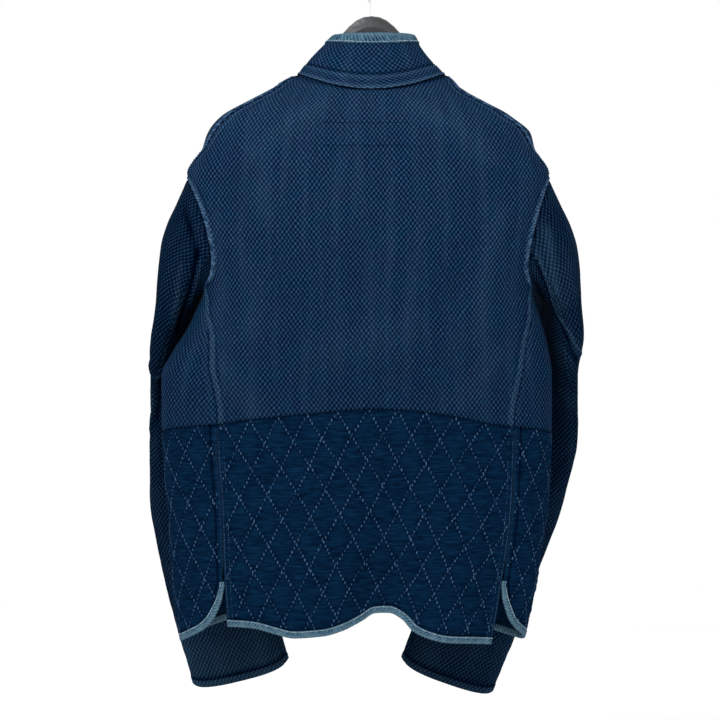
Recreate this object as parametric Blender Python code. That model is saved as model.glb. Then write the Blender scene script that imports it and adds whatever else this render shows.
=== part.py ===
"""Indigo sashiko jacket on its hanger: cloth walls as closed solids, built in mm and written in metres."""
import math

import bpy
import numpy as np

# Driving sizes, mm
CLOTH = 2.4
SLEEVE_CLOTH = 2.2
BAND_CLOTH = 1.8
TAPE = 0.9
TAPE_SLOT = 0.65
TAPE_DEPTH = 7.0
SEAM = 0.35
RELIEF = 0.7
DIAMOND_WIDE = 35.5
DIAMOND_HIGH = 63.0
DIAMOND_START = 13.0
ARM_MID_Z = -346.0
ARM_HALF = 70.0
ARM_SPREAD_BACK = {-1: 0.063, 1: 0.045}
ARM_SPREAD_FRONT = {-1: 0.102, 1: 0.112}
ARM_SHIFT = 0.0125
FRONT_EDGE = 1.2
VENT_BACK = 2.4
NECK_Z = -147.0
COLLAR_TOP_Z = -104.0
CUFF_RING = 9.0
CUFF_BOW = 6.0
CUFF_CORNER = 7.0
VENT_TAPE = 6.0

# Sections of the body: height, centre x, half width, back depth, front depth, exponent, drop at back, drop at front
BODY = np.array([
    (-147.0, -0.5, 93.0, 62.0, 70.0, 2.0, -25.0, -42.0),
    (-168.6, -6.0, 127.0, 67.0, 74.0, 2.1, -13.0, -24.0),
    (-184.0, -7.0, 156.0, 71.0, 77.0, 2.2, -9.0, -15.0),
    (-199.0, -8.0, 182.5, 75.0, 80.0, 2.3, -6.0, -9.0),
    (-222.0, -4.0, 205.0, 79.0, 82.0, 2.4, -2.0, -3.0),
    (-243.0, -4.0, 211.5, 82.0, 84.0, 2.5, 0.0, 0.0),
    (-276.0, -4.5, 228.5, 85.0, 85.0, 2.5, 0.0, 0.0),
    (-338.0, -6.0, 221.0, 88.0, 85.0, 2.6, 0.0, 0.0),
    (-416.0, -5.0, 209.0, 90.0, 84.0, 2.5, 0.0, 0.0),
    (-457.0, -6.5, 221.5, 91.0, 82.0, 2.4, 0.0, 0.0),
    (-498.0, -14.0, 239.0, 92.0, 80.0, 2.3, 0.0, 0.0),
    (-527.0, -18.6, 248.0, 93.0, 80.0, 2.3, 0.0, 0.0),
    (-598.0, -19.0, 247.0, 95.0, 80.0, 2.3, 0.0, 0.0),
    (-689.0, -17.5, 241.5, 95.0, 80.0, 2.3, 0.0, 0.0),
    (-778.0, -21.0, 232.0, 92.0, 80.0, 2.3, 0.0, 0.0),
    (-870.0, -25.0, 217.0, 88.0, 80.0, 2.3, 0.0, 0.0),
])
# Folds of the body: place along the girth, half width, height moved out at the hem, height where the fold starts
FOLDS = [
    (30.0, 30.0, -20.0, -560.0),
    (-82.0, 42.0, 10.0, -600.0),
    (128.0, 42.0, 10.0, -600.0),
    (-150.0, 26.0, -5.0, -450.0),
    (178.0, 26.0, -5.0, -450.0),
]
# Shoulder seam on the back, turns from the back centre at each height
SHOULDER_Z = [-276.0, -262.0, -243.0, -222.0, -199.0, -184.0, -169.0, -158.0, -147.0]
SHOULDER_U = [0.25, 0.228, 0.203, 0.187, 0.18, 0.18, 0.182, 0.205, 0.235]
# Side seams below the armhole, turns
SIDE_Z = [-900.0, -560.0, -520.0, -480.0, -457.0, -430.0, -416.0]
SIDE_LEFT = [0.1155, 0.1155, 0.122, 0.147, 0.175, 0.205, 0.225]
SIDE_RIGHT = [0.139, 0.139, 0.148, 0.165, 0.185, 0.21, 0.225]
# Hem of the back: x and height
HEM_X = [-179.0, -148.0, -117.0, -97.0, -60.0, -37.0, -12.0, 2.0, 20.0, 36.0, 52.0, 68.0, 90.0, 120.0, 150.0]
HEM_Z = [-838.0, -839.0, -845.0, -849.0, -847.0, -841.0, -829.0, -821.0, -820.0, -827.0, -842.0, -849.0,
         -855.0, -858.0, -861.0]
# Rounded vent corner of each front: distance from the side seam and height
CORNER_D = [0.0, 4.0, 8.0, 16.0, 27.0, 42.0, 62.0, 85.0, 105.0, 150.0, 200.0, 260.0, 320.0, 600.0]
CORNER_Z = [-783.0, -795.0, -808.0, -822.0, -835.0, -845.0, -853.0, -860.0, -863.0, -857.0, -845.0, -832.0,
            -826.0, -825.0]
# Sleeves: centre x, y, z, turn of the long axis in degrees, half length and half thickness
SLEEVES = {
    "left": [
        (-240.0, 58.0, -440.0, 15.0, 88.0, 24.0),
        (-247.0, 76.0, -480.0, 18.0, 88.0, 21.0),
        (-239.0, 97.0, -527.0, 33.0, 79.0, 23.0),
        (-225.0, 106.0, -600.0, 53.0, 76.0, 25.0),
        (-221.0, 116.0, -700.0, 75.0, 70.0, 26.0),
        (-206.0, 117.0, -790.0, 85.0, 67.0, 25.0),
        (-189.0, 117.0, -860.0, 90.0, 66.0, 23.0),
        (-173.0, 116.0, -926.0, 90.0, 65.0, 19.0),
    ],
    "right": [
        (240.0, 58.0, -440.0, 15.0, 88.0, 24.0),
        (232.5, 72.0, -480.0, 20.0, 88.0, 23.0),
        (218.0, 92.0, -527.0, 33.0, 82.0, 25.0),
        (206.0, 106.0, -600.0, 53.0, 76.0, 26.0),
        (180.0, 116.0, -700.0, 75.0, 69.0, 26.0),
        (147.0, 117.0, -790.0, 85.0, 67.0, 25.0),
        (125.0, 117.0, -860.0, 90.0, 66.0, 23.0),
        (101.0, 116.0, -930.0, 90.0, 64.0, 19.0),
    ],
}
# Back seam of the sleeves, degrees round the sleeve at each ring
SLEEVE_SEAM_RING = [0.0, 1.0, 2.0, 3.0, 4.0, 9.0]
SLEEVE_SEAM_TURN = [112.5, 118.0, 118.0, 106.0, 84.0, 72.0]
SLEEVE_FRONT_TURN = 247.5

# Top line of the hanger from the middle out: x and z, with half thickness across
HANGER = [
    (0.0, -72.0, 6.0), (10.0, -73.2, 6.0), (19.0, -77.3, 6.0), (28.5, -85.0, 6.0), (35.5, -92.6, 6.0),
    (44.0, -103.5, 6.0), (59.0, -121.5, 6.5), (73.0, -137.7, 7.5), (85.0, -150.7, 8.5), (101.0, -159.6, 9.5),
    (133.0, -176.6, 11.0), (163.0, -193.1, 12.0), (179.0, -202.6, 12.0), (186.0, -209.1, 9.0),
]
HANGER_SHIFT = -6.0
HANGER_HALF_HIGH = 8.5
HANGER_NECK_EXTRA = 6.0
HOOK_RADIUS = 23.5
HOOK_WIRE = 1.5


def smooth(xs, ys, at):
    """Monotone cubic through the given values, held level past both ends."""
    xs = np.asarray(xs, float)
    ys = np.asarray(ys, float)
    if xs[0] > xs[-1]:
        xs = xs[::-1]
        ys = ys[::-1]
    step = np.diff(ys) / np.diff(xs)
    slope = np.empty_like(ys)
    slope[0] = step[0]
    slope[-1] = step[-1]
    product = step[:-1] * step[1:]
    total = np.where(product > 0, step[:-1] + step[1:], 1.0)
    slope[1:-1] = np.where(product > 0, 2 * product / total, 0.0)
    at = np.clip(np.asarray(at, float), xs[0], xs[-1])
    i = np.clip(np.searchsorted(xs, at) - 1, 0, len(xs) - 2)
    width = xs[i + 1] - xs[i]
    t = (at - xs[i]) / width
    a = ys[i] * (1 + 2 * t) * (1 - t) ** 2 + slope[i] * width * t * (1 - t) ** 2
    return a + ys[i + 1] * t * t * (3 - 2 * t) + slope[i + 1] * width * t * t * (t - 1)


def ramp(value):
    t = np.clip(value, 0.0, 1.0)
    return t * t * (3 - 2 * t)


def body_plain(u, z):
    """Body surface without folds. u is in turns from the back centre, negative to the photo's left."""
    cx, a, back, front, power, drop_b, drop_f = [smooth(BODY[:, 0], BODY[:, k], z) for k in range(1, 8)]
    sn = np.sin(2 * math.pi * u)
    cs = np.cos(2 * math.pi * u)
    e = 2.0 / power
    x = cx + a * np.sign(sn) * np.abs(sn) ** e
    y = np.where(cs > 0, -back, front) * np.abs(cs) ** e
    lift = np.where(cs > 0, drop_b, drop_f) * cs * cs
    return np.stack(np.broadcast_arrays(x, y, z + lift), -1)


TURNS = np.linspace(0.0, 0.5, 1201)
RIM = body_plain(TURNS, np.full_like(TURNS, -689.0))
GIRTH = np.concatenate([[0.0], np.cumsum(np.linalg.norm(np.diff(RIM, axis=0), axis=1))])
HALF_GIRTH = float(GIRTH[-1])


def girth_of(u):
    return np.sign(u) * np.interp(np.abs(u), TURNS, GIRTH)


def turns_of(s):
    return np.sign(s) * np.interp(np.abs(s), GIRTH, TURNS)


def body(s, z):
    """Body surface with its large folds. s is the girth from the back centre at the height of the hips."""
    s = np.asarray(s, float)
    z = np.asarray(z, float)
    point = body_plain(turns_of(s), z)
    out = 0.0
    for place, width, height, start in FOLDS:
        grow = ramp((start - z) / (start + 870.0))
        out = out + height * np.exp(-((s - place) / width) ** 2) * grow
    point[..., 1] = point[..., 1] - out
    return point


def normals(surface, s, z, ds=0.6, dz=0.6):
    across = surface(s + ds, z) - surface(s - ds, z)
    up = surface(s, z + dz) - surface(s, z - dz)
    n = np.cross(across, up)
    return n / np.maximum(np.linalg.norm(n, axis=-1, keepdims=True), 1e-9)


def band_top(u):
    return -569.0 - 34.0 * ramp(np.abs(u) / 0.2)


def collar(s, h):
    """Stand collar, from the neck seam at h = 0 to its top edge at h = 1."""
    u = turns_of(s)
    foot = body_plain(u, np.full_like(u, NECK_Z))
    sn = np.sin(2 * math.pi * u)
    cs = np.cos(2 * math.pi * u)
    top_x = 2.5 + 53.0 * sn
    top_y = np.where(cs > 0, -50.0, 74.0) * np.abs(cs)
    top_z = COLLAR_TOP_Z + np.where(cs > 0, 0.0, -10.0) * cs * cs + 3.0 * sn * sn
    top = np.stack([top_x, top_y, top_z], -1)
    k = np.asarray(h, float)[..., None]
    lean = np.sin(math.pi * np.clip(k, 0.0, 1.0)) * np.stack([-3.0 * np.abs(sn), 0.0 * sn, 0.0 * sn], -1)
    return foot + (top - foot) * k + lean


def arm_edge(side, turn):
    """Turns and height of the armhole at an angle: 0 top, 90 back, 180 under the arm, 270 front."""
    t = np.radians(turn)
    mid = 0.25 - ARM_SHIFT * (1 - np.cos(t))
    spread = np.where(np.sin(t) > 0, ARM_SPREAD_BACK[int(side)], ARM_SPREAD_FRONT[int(side)])
    u = mid - spread * np.sin(t)
    return side * u, ARM_MID_Z + ARM_HALF * np.cos(t)


def sleeve_ring(name, ring, turn):
    """One whole ring of a sleeve. Ring 0 is the armhole, ring 1 is worked out between 0 and 2."""
    side = -1.0 if name == "left" else 1.0
    if ring <= 0:
        u, z = arm_edge(side, turn)
        return body(girth_of(u), z)
    if ring == 1:
        mean = 0.5 * (sleeve_ring(name, 0, turn) + sleeve_ring(name, 2, turn))
        out = 0.5 + 0.5 * np.cos(np.radians(turn))
        push = np.stack([side * (5.0 + 10.0 * out), -3.0 * np.sin(np.radians(turn)), 5.0 * out], -1)
        return mean + push
    rows = SLEEVES[name]
    i = min(ring - 2, len(rows) - 1)
    x, y, z, yaw, length, thick = rows[i]
    before = np.array(rows[max(i - 1, 0)][:3])
    after = np.array(rows[min(i + 1, len(rows) - 1)][:3])
    down = (after - before) / np.linalg.norm(after - before)
    long_axis = np.array([-side * math.sin(math.radians(yaw)), math.cos(math.radians(yaw)), 0.0])
    long_axis = long_axis - down * np.dot(long_axis, down)
    long_axis = long_axis / np.linalg.norm(long_axis)
    out_axis = np.cross(long_axis, down) * -side
    t = np.radians(np.asarray(turn, float))
    cs = np.cos(t)
    sn = np.sin(t)
    e = 0.9
    bow = 0.0
    if ring > len(rows):
        bow = CUFF_BOW * np.abs(sn) ** 2.5 + CUFF_CORNER * np.abs(sn) ** 10 - CUFF_BOW
    flat = (np.sign(cs) * np.abs(cs) ** e)[..., None] * out_axis * thick
    wide = (np.sign(sn) * np.abs(sn) ** e)[..., None] * long_axis * length
    return np.stack(np.broadcast_arrays(x, y, z + bow), -1) + flat - wide


def sleeve(name, turn, ring):
    """Sleeve surface: a cubic through whole rings."""
    ring = np.asarray(ring, float)
    turn = np.broadcast_to(np.asarray(turn, float), ring.shape) + 0.0 * ring
    last = len(SLEEVES[name]) + 1
    rings = [sleeve_ring(name, k, turn) for k in range(last + 1)]
    rings = [2 * rings[0] - rings[1]] + rings + [2 * rings[-1] - rings[-2]]
    stack = np.stack(rings, 0)
    base = np.clip(np.floor(ring).astype(int), 0, last - 1)
    f = (ring - base)[..., None]
    pick = np.indices(ring.shape)
    a, b, c, d = [stack[(base + k, *pick)] for k in range(4)]
    m1 = (c - a) / 2
    m2 = (d - b) / 2
    return (b * (1 + 2 * f) * (1 - f) ** 2 + m1 * f * (1 - f) ** 2
            + c * f * f * (3 - 2 * f) + m2 * f * f * (f - 1))


def sleeve_normals(name, turn, ring):
    side = -1.0 if name == "left" else 1.0
    near = np.clip(ring, 0.02, CUFF_RING - 0.02)
    around = sleeve(name, turn + 1.0, near) - sleeve(name, turn - 1.0, near)
    down = sleeve(name, turn, near + 0.02) - sleeve(name, turn, near - 0.02)
    n = np.cross(around, down) * side
    n = n / np.maximum(np.linalg.norm(n, axis=-1, keepdims=True), 1e-9)
    u, z = arm_edge(side, turn)
    first = normals(body, girth_of(u), z)
    mix = np.clip(1.0 - ring / 0.5, 0.0, 1.0)[..., None]
    n = n * (1 - mix) + first * mix
    return n / np.linalg.norm(n, axis=-1, keepdims=True)


def volume(points, faces):
    total = 0.0
    for face in faces:
        for k in range(1, len(face) - 1):
            total += float(np.dot(points[face[0]], np.cross(points[face[k]], points[face[k + 1]])))
    return total / 6.0


def add_object(name, points, faces, look):
    points = np.asarray(points)
    if volume(points, faces) < 0:
        faces = [tuple(reversed(face)) for face in faces]
    mesh = bpy.data.meshes.new(name)
    mesh.from_pydata([tuple(p) for p in points * 0.001], [], faces)
    mesh.update()
    thing = bpy.data.objects.new(name, mesh)
    home.objects.link(thing)
    colour, rough, metal = look
    material = bpy.data.materials.new(name + "_look")
    material.use_nodes = True
    shader = material.node_tree.nodes["Principled BSDF"]
    shader.inputs["Base Color"].default_value = (*colour, 1.0)
    shader.inputs["Roughness"].default_value = rough
    shader.inputs["Metallic"].default_value = metal
    mesh.materials.append(material)
    return thing


def wall(name, outer, inner, look, heights=None):
    """Closed wall between two grids of points. Both faces are split along the same corners of each square."""
    rows, cols = outer.shape[:2]
    points = np.concatenate([outer.reshape(-1, 3), inner.reshape(-1, 3)])
    faces = []
    shift = rows * cols
    for r in range(rows - 1):
        for c in range(cols - 1):
            a = r * cols + c
            p, q, m, n = a, a + cols, a + cols + 1, a + 1
            if heights is not None:
                one = heights[r, c] + heights[r + 1, c + 1]
                two = heights[r, c + 1] + heights[r + 1, c]
            else:
                one = np.linalg.norm(outer[r, c] - outer[r + 1, c + 1])
                two = np.linalg.norm(outer[r, c + 1] - outer[r + 1, c])
            halves = ((p, q, m), (p, m, n)) if one <= two else ((p, q, n), (q, m, n))
            for half in halves:
                faces.append(half)
                faces.append(tuple(shift + k for k in reversed(half)))
    ring = [c for c in range(cols)] + [r * cols + cols - 1 for r in range(1, rows)]
    ring += [(rows - 1) * cols + c for c in range(cols - 2, -1, -1)] + [r * cols for r in range(rows - 2, 0, -1)]
    for k, a in enumerate(ring):
        b = ring[(k + 1) % len(ring)]
        faces.append((a, b, b + shift, a + shift))
    return add_object(name, points, faces, look)


# Colours, roughness and metal of each sort of piece
GRAIN = ((0.012, 0.040, 0.090), 0.9, 0.0)
GRAIN_DARK = ((0.009, 0.026, 0.058), 0.9, 0.0)
BAND = ((0.005, 0.020, 0.052), 0.9, 0.0)
FADED = ((0.075, 0.165, 0.240), 0.85, 0.0)
PLASTIC = ((0.030, 0.031, 0.034), 0.4, 0.0)
STEEL = ((0.62, 0.62, 0.63), 0.22, 1.0)

for old in list(bpy.data.objects):
    bpy.data.objects.remove(old, do_unlink=True)
home = bpy.data.collections.new("indigo_sashiko_jacket")
bpy.context.scene.collection.children.link(home)

# Heights of the rows shared by back and fronts, so that their seams meet at the same points
ARM_TURNS = np.arange(0.0, 181.0, 22.5)
ARM_ROWS = ARM_MID_Z + ARM_HALF * np.cos(np.radians(ARM_TURNS))
TOP_ROWS = np.array([NECK_Z, -157.0, -169.0, -184.0, -199.0, -215.0, -232.0, -252.0])
LOW_ROWS = np.array([-430.0, -448.0, -472.0, -500.0, -528.0, -569.0])
ROWS = np.concatenate([TOP_ROWS, ARM_ROWS, LOW_ROWS])
SHARE = ramp((-450.0 - ROWS) / 119.0)


def seam_turn(side, z, front):
    """Edge of the back panel, or of a front panel, at one height."""
    if z > ARM_ROWS[0] + 0.01:
        return float(smooth(SHOULDER_Z, SHOULDER_U, z))
    if z > ARM_ROWS[-1] - 0.01:
        t = math.degrees(math.acos(max(-1.0, min(1.0, (z - ARM_MID_Z) / ARM_HALF))))
        u = arm_edge(side, np.array(360.0 - t if front else t))[0]
        return abs(float(u))
    table = SIDE_LEFT if side < 0 else SIDE_RIGHT
    return float(smooth(SIDE_Z, table, z))


def row_heights(k, s):
    u = np.abs(turns_of(s))
    return ROWS[k] + (band_top(u) + 569.0) * SHARE[k]


def body_panel(name, edges, count):
    """Panel of the body between two edges given in girth at each row."""
    outer = []
    inner = []
    for k in range(len(ROWS)):
        s = np.linspace(edges[k][0], edges[k][1], count)
        z = row_heights(k, s)
        if k == 0:
            z = z - 0.5
        if k == len(ROWS) - 1:
            z = z + SEAM
        p = body(s, z)
        n = normals(body, s, z)
        outer.append(p)
        inner.append(p - n * CLOTH)
    wall(name, np.array(outer), np.array(inner), GRAIN)


back_edges = []
left_edges = []
right_edges = []
for z in ROWS:
    back_edges.append((-girth_of(seam_turn(-1, z, False)) + SEAM, girth_of(seam_turn(1, z, False)) - SEAM))
    left_edges.append((-HALF_GIRTH + FRONT_EDGE, -girth_of(seam_turn(-1, z, True)) - SEAM))
    right_edges.append((girth_of(seam_turn(1, z, True)) + SEAM, HALF_GIRTH - FRONT_EDGE))
body_panel("back_body", back_edges, 21)
body_panel("front_body_left", left_edges, 12)
body_panel("front_body_right", right_edges, 12)


def relief(s, drop):
    """1 in the middle of a diamond, 0 on its stitch lines."""
    a = (s - DIAMOND_START) / DIAMOND_WIDE + drop / DIAMOND_HIGH
    b = (s - DIAMOND_START) / DIAMOND_WIDE - drop / DIAMOND_HIGH
    return 2 * np.minimum(np.abs(a - np.round(a)), np.abs(b - np.round(b)))


def band_panel(name, columns, hem, drops, vent=None):
    """Panel of the stitched band, relief on the outer points only. vent is the edge that stands back for its tape."""
    outer = []
    inner = []
    heights = []
    top = band_top(turns_of(columns)) - SEAM
    low = hem
    tall = top - low
    for k, drop in enumerate(drops):
        z = top - np.minimum(drop, tall)
        if k >= len(drops) - 3:
            left = (len(drops) - 1 - k) / 3.0
            start = np.minimum(drops[len(drops) - 4], tall * 0.75)
            z = low + (tall - start) * left
        elif k:
            z = np.maximum(z, low + tall * 0.25 * (len(drops) - k) / len(drops) + 0.0)
        s = columns.copy()
        if vent is not None:
            s[vent] = s[vent] + VENT_BACK * np.sign(s[vent]) * float(ramp((-745.0 - z[vent]) / 25.0))
        p = body(s, z)
        n = normals(body, s, z)
        h = relief(columns, np.full_like(columns, drop))
        edge = ramp((np.minimum(columns - columns[0], columns[-1] - columns) - 7.0) / 12.0)
        if k == 0 or k >= len(drops) - 2:
            edge = edge * 0.0
        outer.append(p + n * (h * edge * RELIEF)[..., None])
        inner.append(p - n * BAND_CLOTH)
        heights.append(h)
    wall(name, np.array(outer), np.array(inner), BAND, heights=np.array(heights))
    return np.array(outer), np.array(inner)


def band_columns(left, right, extra=()):
    half = DIAMOND_WIDE / 2
    first = math.ceil((left - DIAMOND_START + 5.0) / half)
    last = math.floor((right - DIAMOND_START - 5.0) / half)
    inside = [DIAMOND_START + half * k for k in range(first, last + 1)]
    extra = [e for e in extra if left + 1.0 < e < right - 1.0]
    inside = [v for v in inside if all(abs(v - e) > 6.0 for e in extra)]
    return np.array([left] + sorted(inside + extra) + [right])


HALF_DROP = DIAMOND_HIGH / 2
DROPS = [0.0] + [HALF_DROP * k for k in range(1, 7)] + [HALF_DROP * 7, HALF_DROP * 8, HALF_DROP * 9]
side_left = float(girth_of(SIDE_LEFT[0]))
side_right = float(girth_of(SIDE_RIGHT[0]))
back_cols = band_columns(-side_left + SEAM, side_right - SEAM)
back_hem = smooth(HEM_X, HEM_Z, body(back_cols, np.full_like(back_cols, -840.0))[:, 0])
band_panel("back_skirt", back_cols, back_hem, DROPS)
corner = [4.5, 8.5, 16.0, 27.0, 42.0, 62.0, 85.0]
left_cols = band_columns(-HALF_GIRTH + FRONT_EDGE, -side_left - SEAM, [-side_left - d for d in corner])
right_cols = band_columns(side_right + SEAM, HALF_GIRTH - FRONT_EDGE, [side_right + d for d in corner])
left_hem = smooth(CORNER_D, CORNER_Z, -side_left - left_cols)
right_hem = smooth(CORNER_D, CORNER_Z, right_cols - side_right)
band_panel("front_skirt_left", left_cols, left_hem, DROPS, len(left_cols) - 1)
band_panel("front_skirt_right", right_cols, right_hem, DROPS, 0)


def channel(name, edge, edge_n, inside, inside_n, thick, look):
    """Tape folded over an edge: a U section at each point, closed at both ends."""
    g = TAPE_SLOT
    w = TAPE_SLOT + TAPE
    points = []
    for p, n, q, m in zip(edge, edge_n, inside, inside_n):
        d = (q - p) / np.linalg.norm(q - p)
        points += [q + m * w, p - d * w + n * w, p - d * w - n * (thick + w), q - m * (thick + w)]
        points += [q - m * (thick + g), p - d * g - n * (thick + g), p - d * g + n * g, q + m * g]
    faces = []
    count = len(edge)
    for k in range(count - 1):
        for j in range(8):
            a = k * 8 + j
            b = k * 8 + (j + 1) % 8
            faces.append((a, b, b + 8, a + 8))
    for start, turned in ((0, False), ((count - 1) * 8, True)):
        for quad in ((0, 7, 6, 1), (1, 6, 5, 2), (2, 5, 4, 3)):
            face = tuple(start + q for q in quad)
            faces.append(face if not turned else tuple(reversed(face)))
    add_object(name, np.array(points), faces, look)


def hem_tape(name, s, z, inward):
    """Tape along an edge of the band given in girth and height. inward tells which side of the path the cloth is."""
    run = np.stack([np.gradient(s), np.gradient(z)], -1)
    run = run / np.linalg.norm(run, axis=1, keepdims=True)
    deep_s = s - run[:, 1] * inward * TAPE_DEPTH
    deep_z = z + run[:, 0] * inward * TAPE_DEPTH
    edge = body(s, z)
    inside = body(deep_s, deep_z)
    channel(name, edge, normals(body, s, z), inside, normals(body, deep_s, deep_z), BAND_CLOTH, FADED)


edge_s = back_cols.copy()
hem_tape("back_hem_binding", edge_s, back_hem, 1.0)
for name, cols, start, sign in (("left", left_cols, -side_left, -1.0), ("right", right_cols, side_right, 1.0)):
    away = np.sort(np.abs(cols - start))
    edge_z = smooth(CORNER_D, CORNER_Z, away)
    away[0] = away[0] + VENT_BACK
    away = np.concatenate([[away[0]], away])
    edge_z = np.concatenate([[edge_z[0] + VENT_TAPE], edge_z])
    hem_tape("front_hem_binding_" + name, start + sign * away, edge_z, sign)

# Collar and its tape
collar_s = np.linspace(-HALF_GIRTH + 2.5, HALF_GIRTH - 2.5, 31)
levels = np.array([0.008, 0.3, 0.6, 0.86, 1.0])
outer = []
inner = []
for h in levels:
    hh = np.full_like(collar_s, h)
    p = collar(collar_s, hh)
    n = normals(collar, collar_s, hh, dz=0.02)
    outer.append(p)
    inner.append(p - n * CLOTH)
wall("collar", np.array(outer), np.array(inner), GRAIN)
top = np.ones_like(collar_s)
low = top * 0.86
channel("collar_binding", collar(collar_s, top), normals(collar, collar_s, top, dz=0.02),
        collar(collar_s, low), normals(collar, collar_s, low, dz=0.02), CLOTH, FADED)

# Sleeves, each in an outer and an under panel
RINGS = np.array([0.0, 0.35, 0.7, 1.0, 1.5, 2.0, 2.5, 3.0, 3.5, 4.0, 4.6, 5.3, 6.0, 7.0, 8.0, 9.0])
for name in ("left", "right"):
    side = -1.0 if name == "left" else 1.0
    for panel, count in (("top", 11), ("under", 7)):
        outer = []
        inner = []
        for ring in RINGS:
            seam_at = float(smooth(SLEEVE_SEAM_RING, SLEEVE_SEAM_TURN, ring))
            at = np.array([seam_at, SLEEVE_FRONT_TURN])
            reach = sleeve(name, at + 1.0, np.full(2, ring)) - sleeve(name, at - 1.0, np.full(2, ring))
            back_gap, front_gap = 2.8 * SEAM / np.linalg.norm(reach, axis=1)
            if panel == "top":
                turns = np.linspace(SLEEVE_FRONT_TURN - 360.0 + front_gap, seam_at - back_gap, count)
            else:
                turns = np.linspace(seam_at + back_gap, SLEEVE_FRONT_TURN - front_gap, count)
            at = np.full_like(turns, ring)
            p = sleeve(name, turns, at)
            if ring == 0.0:
                step = sleeve(name, turns, at + 0.02) - p
                p = p + step / np.linalg.norm(step, axis=-1, keepdims=True) * 2 * SEAM
            n = sleeve_normals(name, turns, at)
            outer.append(p)
            inner.append(p - n * SLEEVE_CLOTH)
        wall("sleeve_" + name + "_" + panel, np.array(outer), np.array(inner), GRAIN_DARK)

# Hanger: oval rings along its top line, closed at both ends
line = [(-x, z, t) for x, z, t in reversed(HANGER[1:])] + list(HANGER)
line = np.array(line)
line[:, 0] = line[:, 0] + HANGER_SHIFT * ramp((np.abs(line[:, 0]) - 50.0) / 70.0)
points = []
for k, (x, z, t) in enumerate(line):
    before = line[max(k - 1, 0), :2]
    after = line[min(k + 1, len(line) - 1), :2]
    run = (after - before) / np.linalg.norm(after - before)
    up = np.array([-run[1], run[0]])
    high = HANGER_HALF_HIGH * (0.7 if k in (0, len(line) - 1) else 1.0)
    high = high + HANGER_NECK_EXTRA * float(ramp((45.0 - abs(x)) / 35.0))
    for j in range(12):
        turn = 2 * math.pi * j / 12
        rise = high * math.cos(turn) - high
        points.append((x + up[0] * rise, t * math.sin(turn), z + up[1] * rise))
faces = []
for k in range(len(line) - 1):
    for j in range(12):
        a = k * 12 + j
        b = k * 12 + (j + 1) % 12
        faces.append((a, b, b + 12, a + 12))
faces.append(tuple(reversed(range(12))))
faces.append(tuple((len(line) - 1) * 12 + j for j in range(12)))
add_object("hanger_body", points, faces, PLASTIC)

# Hook: a bent wire that ends just above the hanger
path = [(0.0, -71.5), (0.0, -61.0), (-1.0, -55.0), (-5.5, -49.0), (-11.0, -43.8)]
centre_z = -HOOK_RADIUS + HOOK_WIRE
for k in range(17):
    turn = math.radians(228.0 - k * 15.5)
    path.append((HOOK_RADIUS * math.cos(turn), centre_z + HOOK_RADIUS * math.sin(turn)))
curve = bpy.data.curves.new("hanger_hook", "CURVE")
curve.dimensions = "3D"
spline = curve.splines.new("POLY")
spline.points.add(len(path) - 1)
for point, (x, z) in zip(spline.points, path):
    point.co = (x * 0.001, 0.0, z * 0.001, 1.0)
curve.bevel_depth = HOOK_WIRE * 0.001
curve.bevel_resolution = 2
curve.use_fill_caps = True
hook = bpy.data.objects.new("hanger_hook", curve)
home.objects.link(hook)
steel = bpy.data.materials.new("hanger_hook_look")
steel.use_nodes = True
shader = steel.node_tree.nodes["Principled BSDF"]
shader.inputs["Base Color"].default_value = (*STEEL[0], 1.0)
shader.inputs["Roughness"].default_value = STEEL[1]
shader.inputs["Metallic"].default_value = STEEL[2]
curve.materials.append(steel)
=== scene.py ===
"""Looks of the indigo sashiko jacket on its hanger: cloth shells, bindings, stitches, light and camera."""

import math

import bpy
import numpy as np
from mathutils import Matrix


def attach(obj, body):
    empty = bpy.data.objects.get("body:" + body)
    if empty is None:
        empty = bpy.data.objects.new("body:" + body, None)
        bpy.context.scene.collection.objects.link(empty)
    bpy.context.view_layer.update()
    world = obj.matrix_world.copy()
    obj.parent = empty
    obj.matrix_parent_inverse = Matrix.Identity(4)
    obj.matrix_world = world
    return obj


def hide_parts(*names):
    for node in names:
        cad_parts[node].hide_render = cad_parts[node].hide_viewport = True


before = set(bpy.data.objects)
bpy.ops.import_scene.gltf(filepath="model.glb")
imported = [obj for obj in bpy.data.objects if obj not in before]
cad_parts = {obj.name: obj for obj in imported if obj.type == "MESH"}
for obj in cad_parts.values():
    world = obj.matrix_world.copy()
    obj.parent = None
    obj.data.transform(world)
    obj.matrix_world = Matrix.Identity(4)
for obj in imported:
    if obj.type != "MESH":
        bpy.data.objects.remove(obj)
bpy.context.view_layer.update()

TWO_PI = 2 * math.pi

# Driving sizes, mm
CLOTH = 2.4
SLEEVE_CLOTH = 2.2
BAND_CLOTH = 1.8
TAPE = 0.9
TAPE_SLOT = 0.15
TAPE_DEPTH = 7.0
SEAM = 0.2
SEAM_LEAN = 1.1
NECK_LEAN = np.array([[2.0], [1.4], [0.7]])
DIAMOND_WIDE = 35.5
DIAMOND_HIGH = 63.0
DIAMOND_START = 13.0
ARM_MID_Z = -346.0
ARM_HALF = 70.0
ARM_SPREAD_BACK = {-1: 0.063, 1: 0.045}
ARM_SPREAD_FRONT = {-1: 0.102, 1: 0.112}
ARM_SHIFT = 0.0125
FRONT_EDGE = 0.4
VENT_BACK = 2.4
NECK_Z = -147.0
BAND_Z = -569.0
COLLAR_TOP_Z = -102.0
CUFF_RING = 9.0
CUFF_BOW = 6.0
CUFF_CORNER = 7.0
VENT_TAPE = 6.0
BODY_STEP = 4.2
BAND_STEP = (3.4, 2.3)
SLEEVE_STEP = 4.2
HIP_Z = -689.0
BODY_LOW_Z = -870.0
COLLAR_HIGH = 58.0
COLLAR_SPAN = 60.0
COLLAR_ENDS = 2.5
GRAIN_WIDE = 5.6
GRAIN_HIGH = 7.4
CUFF_HEM = 9.0
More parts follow.
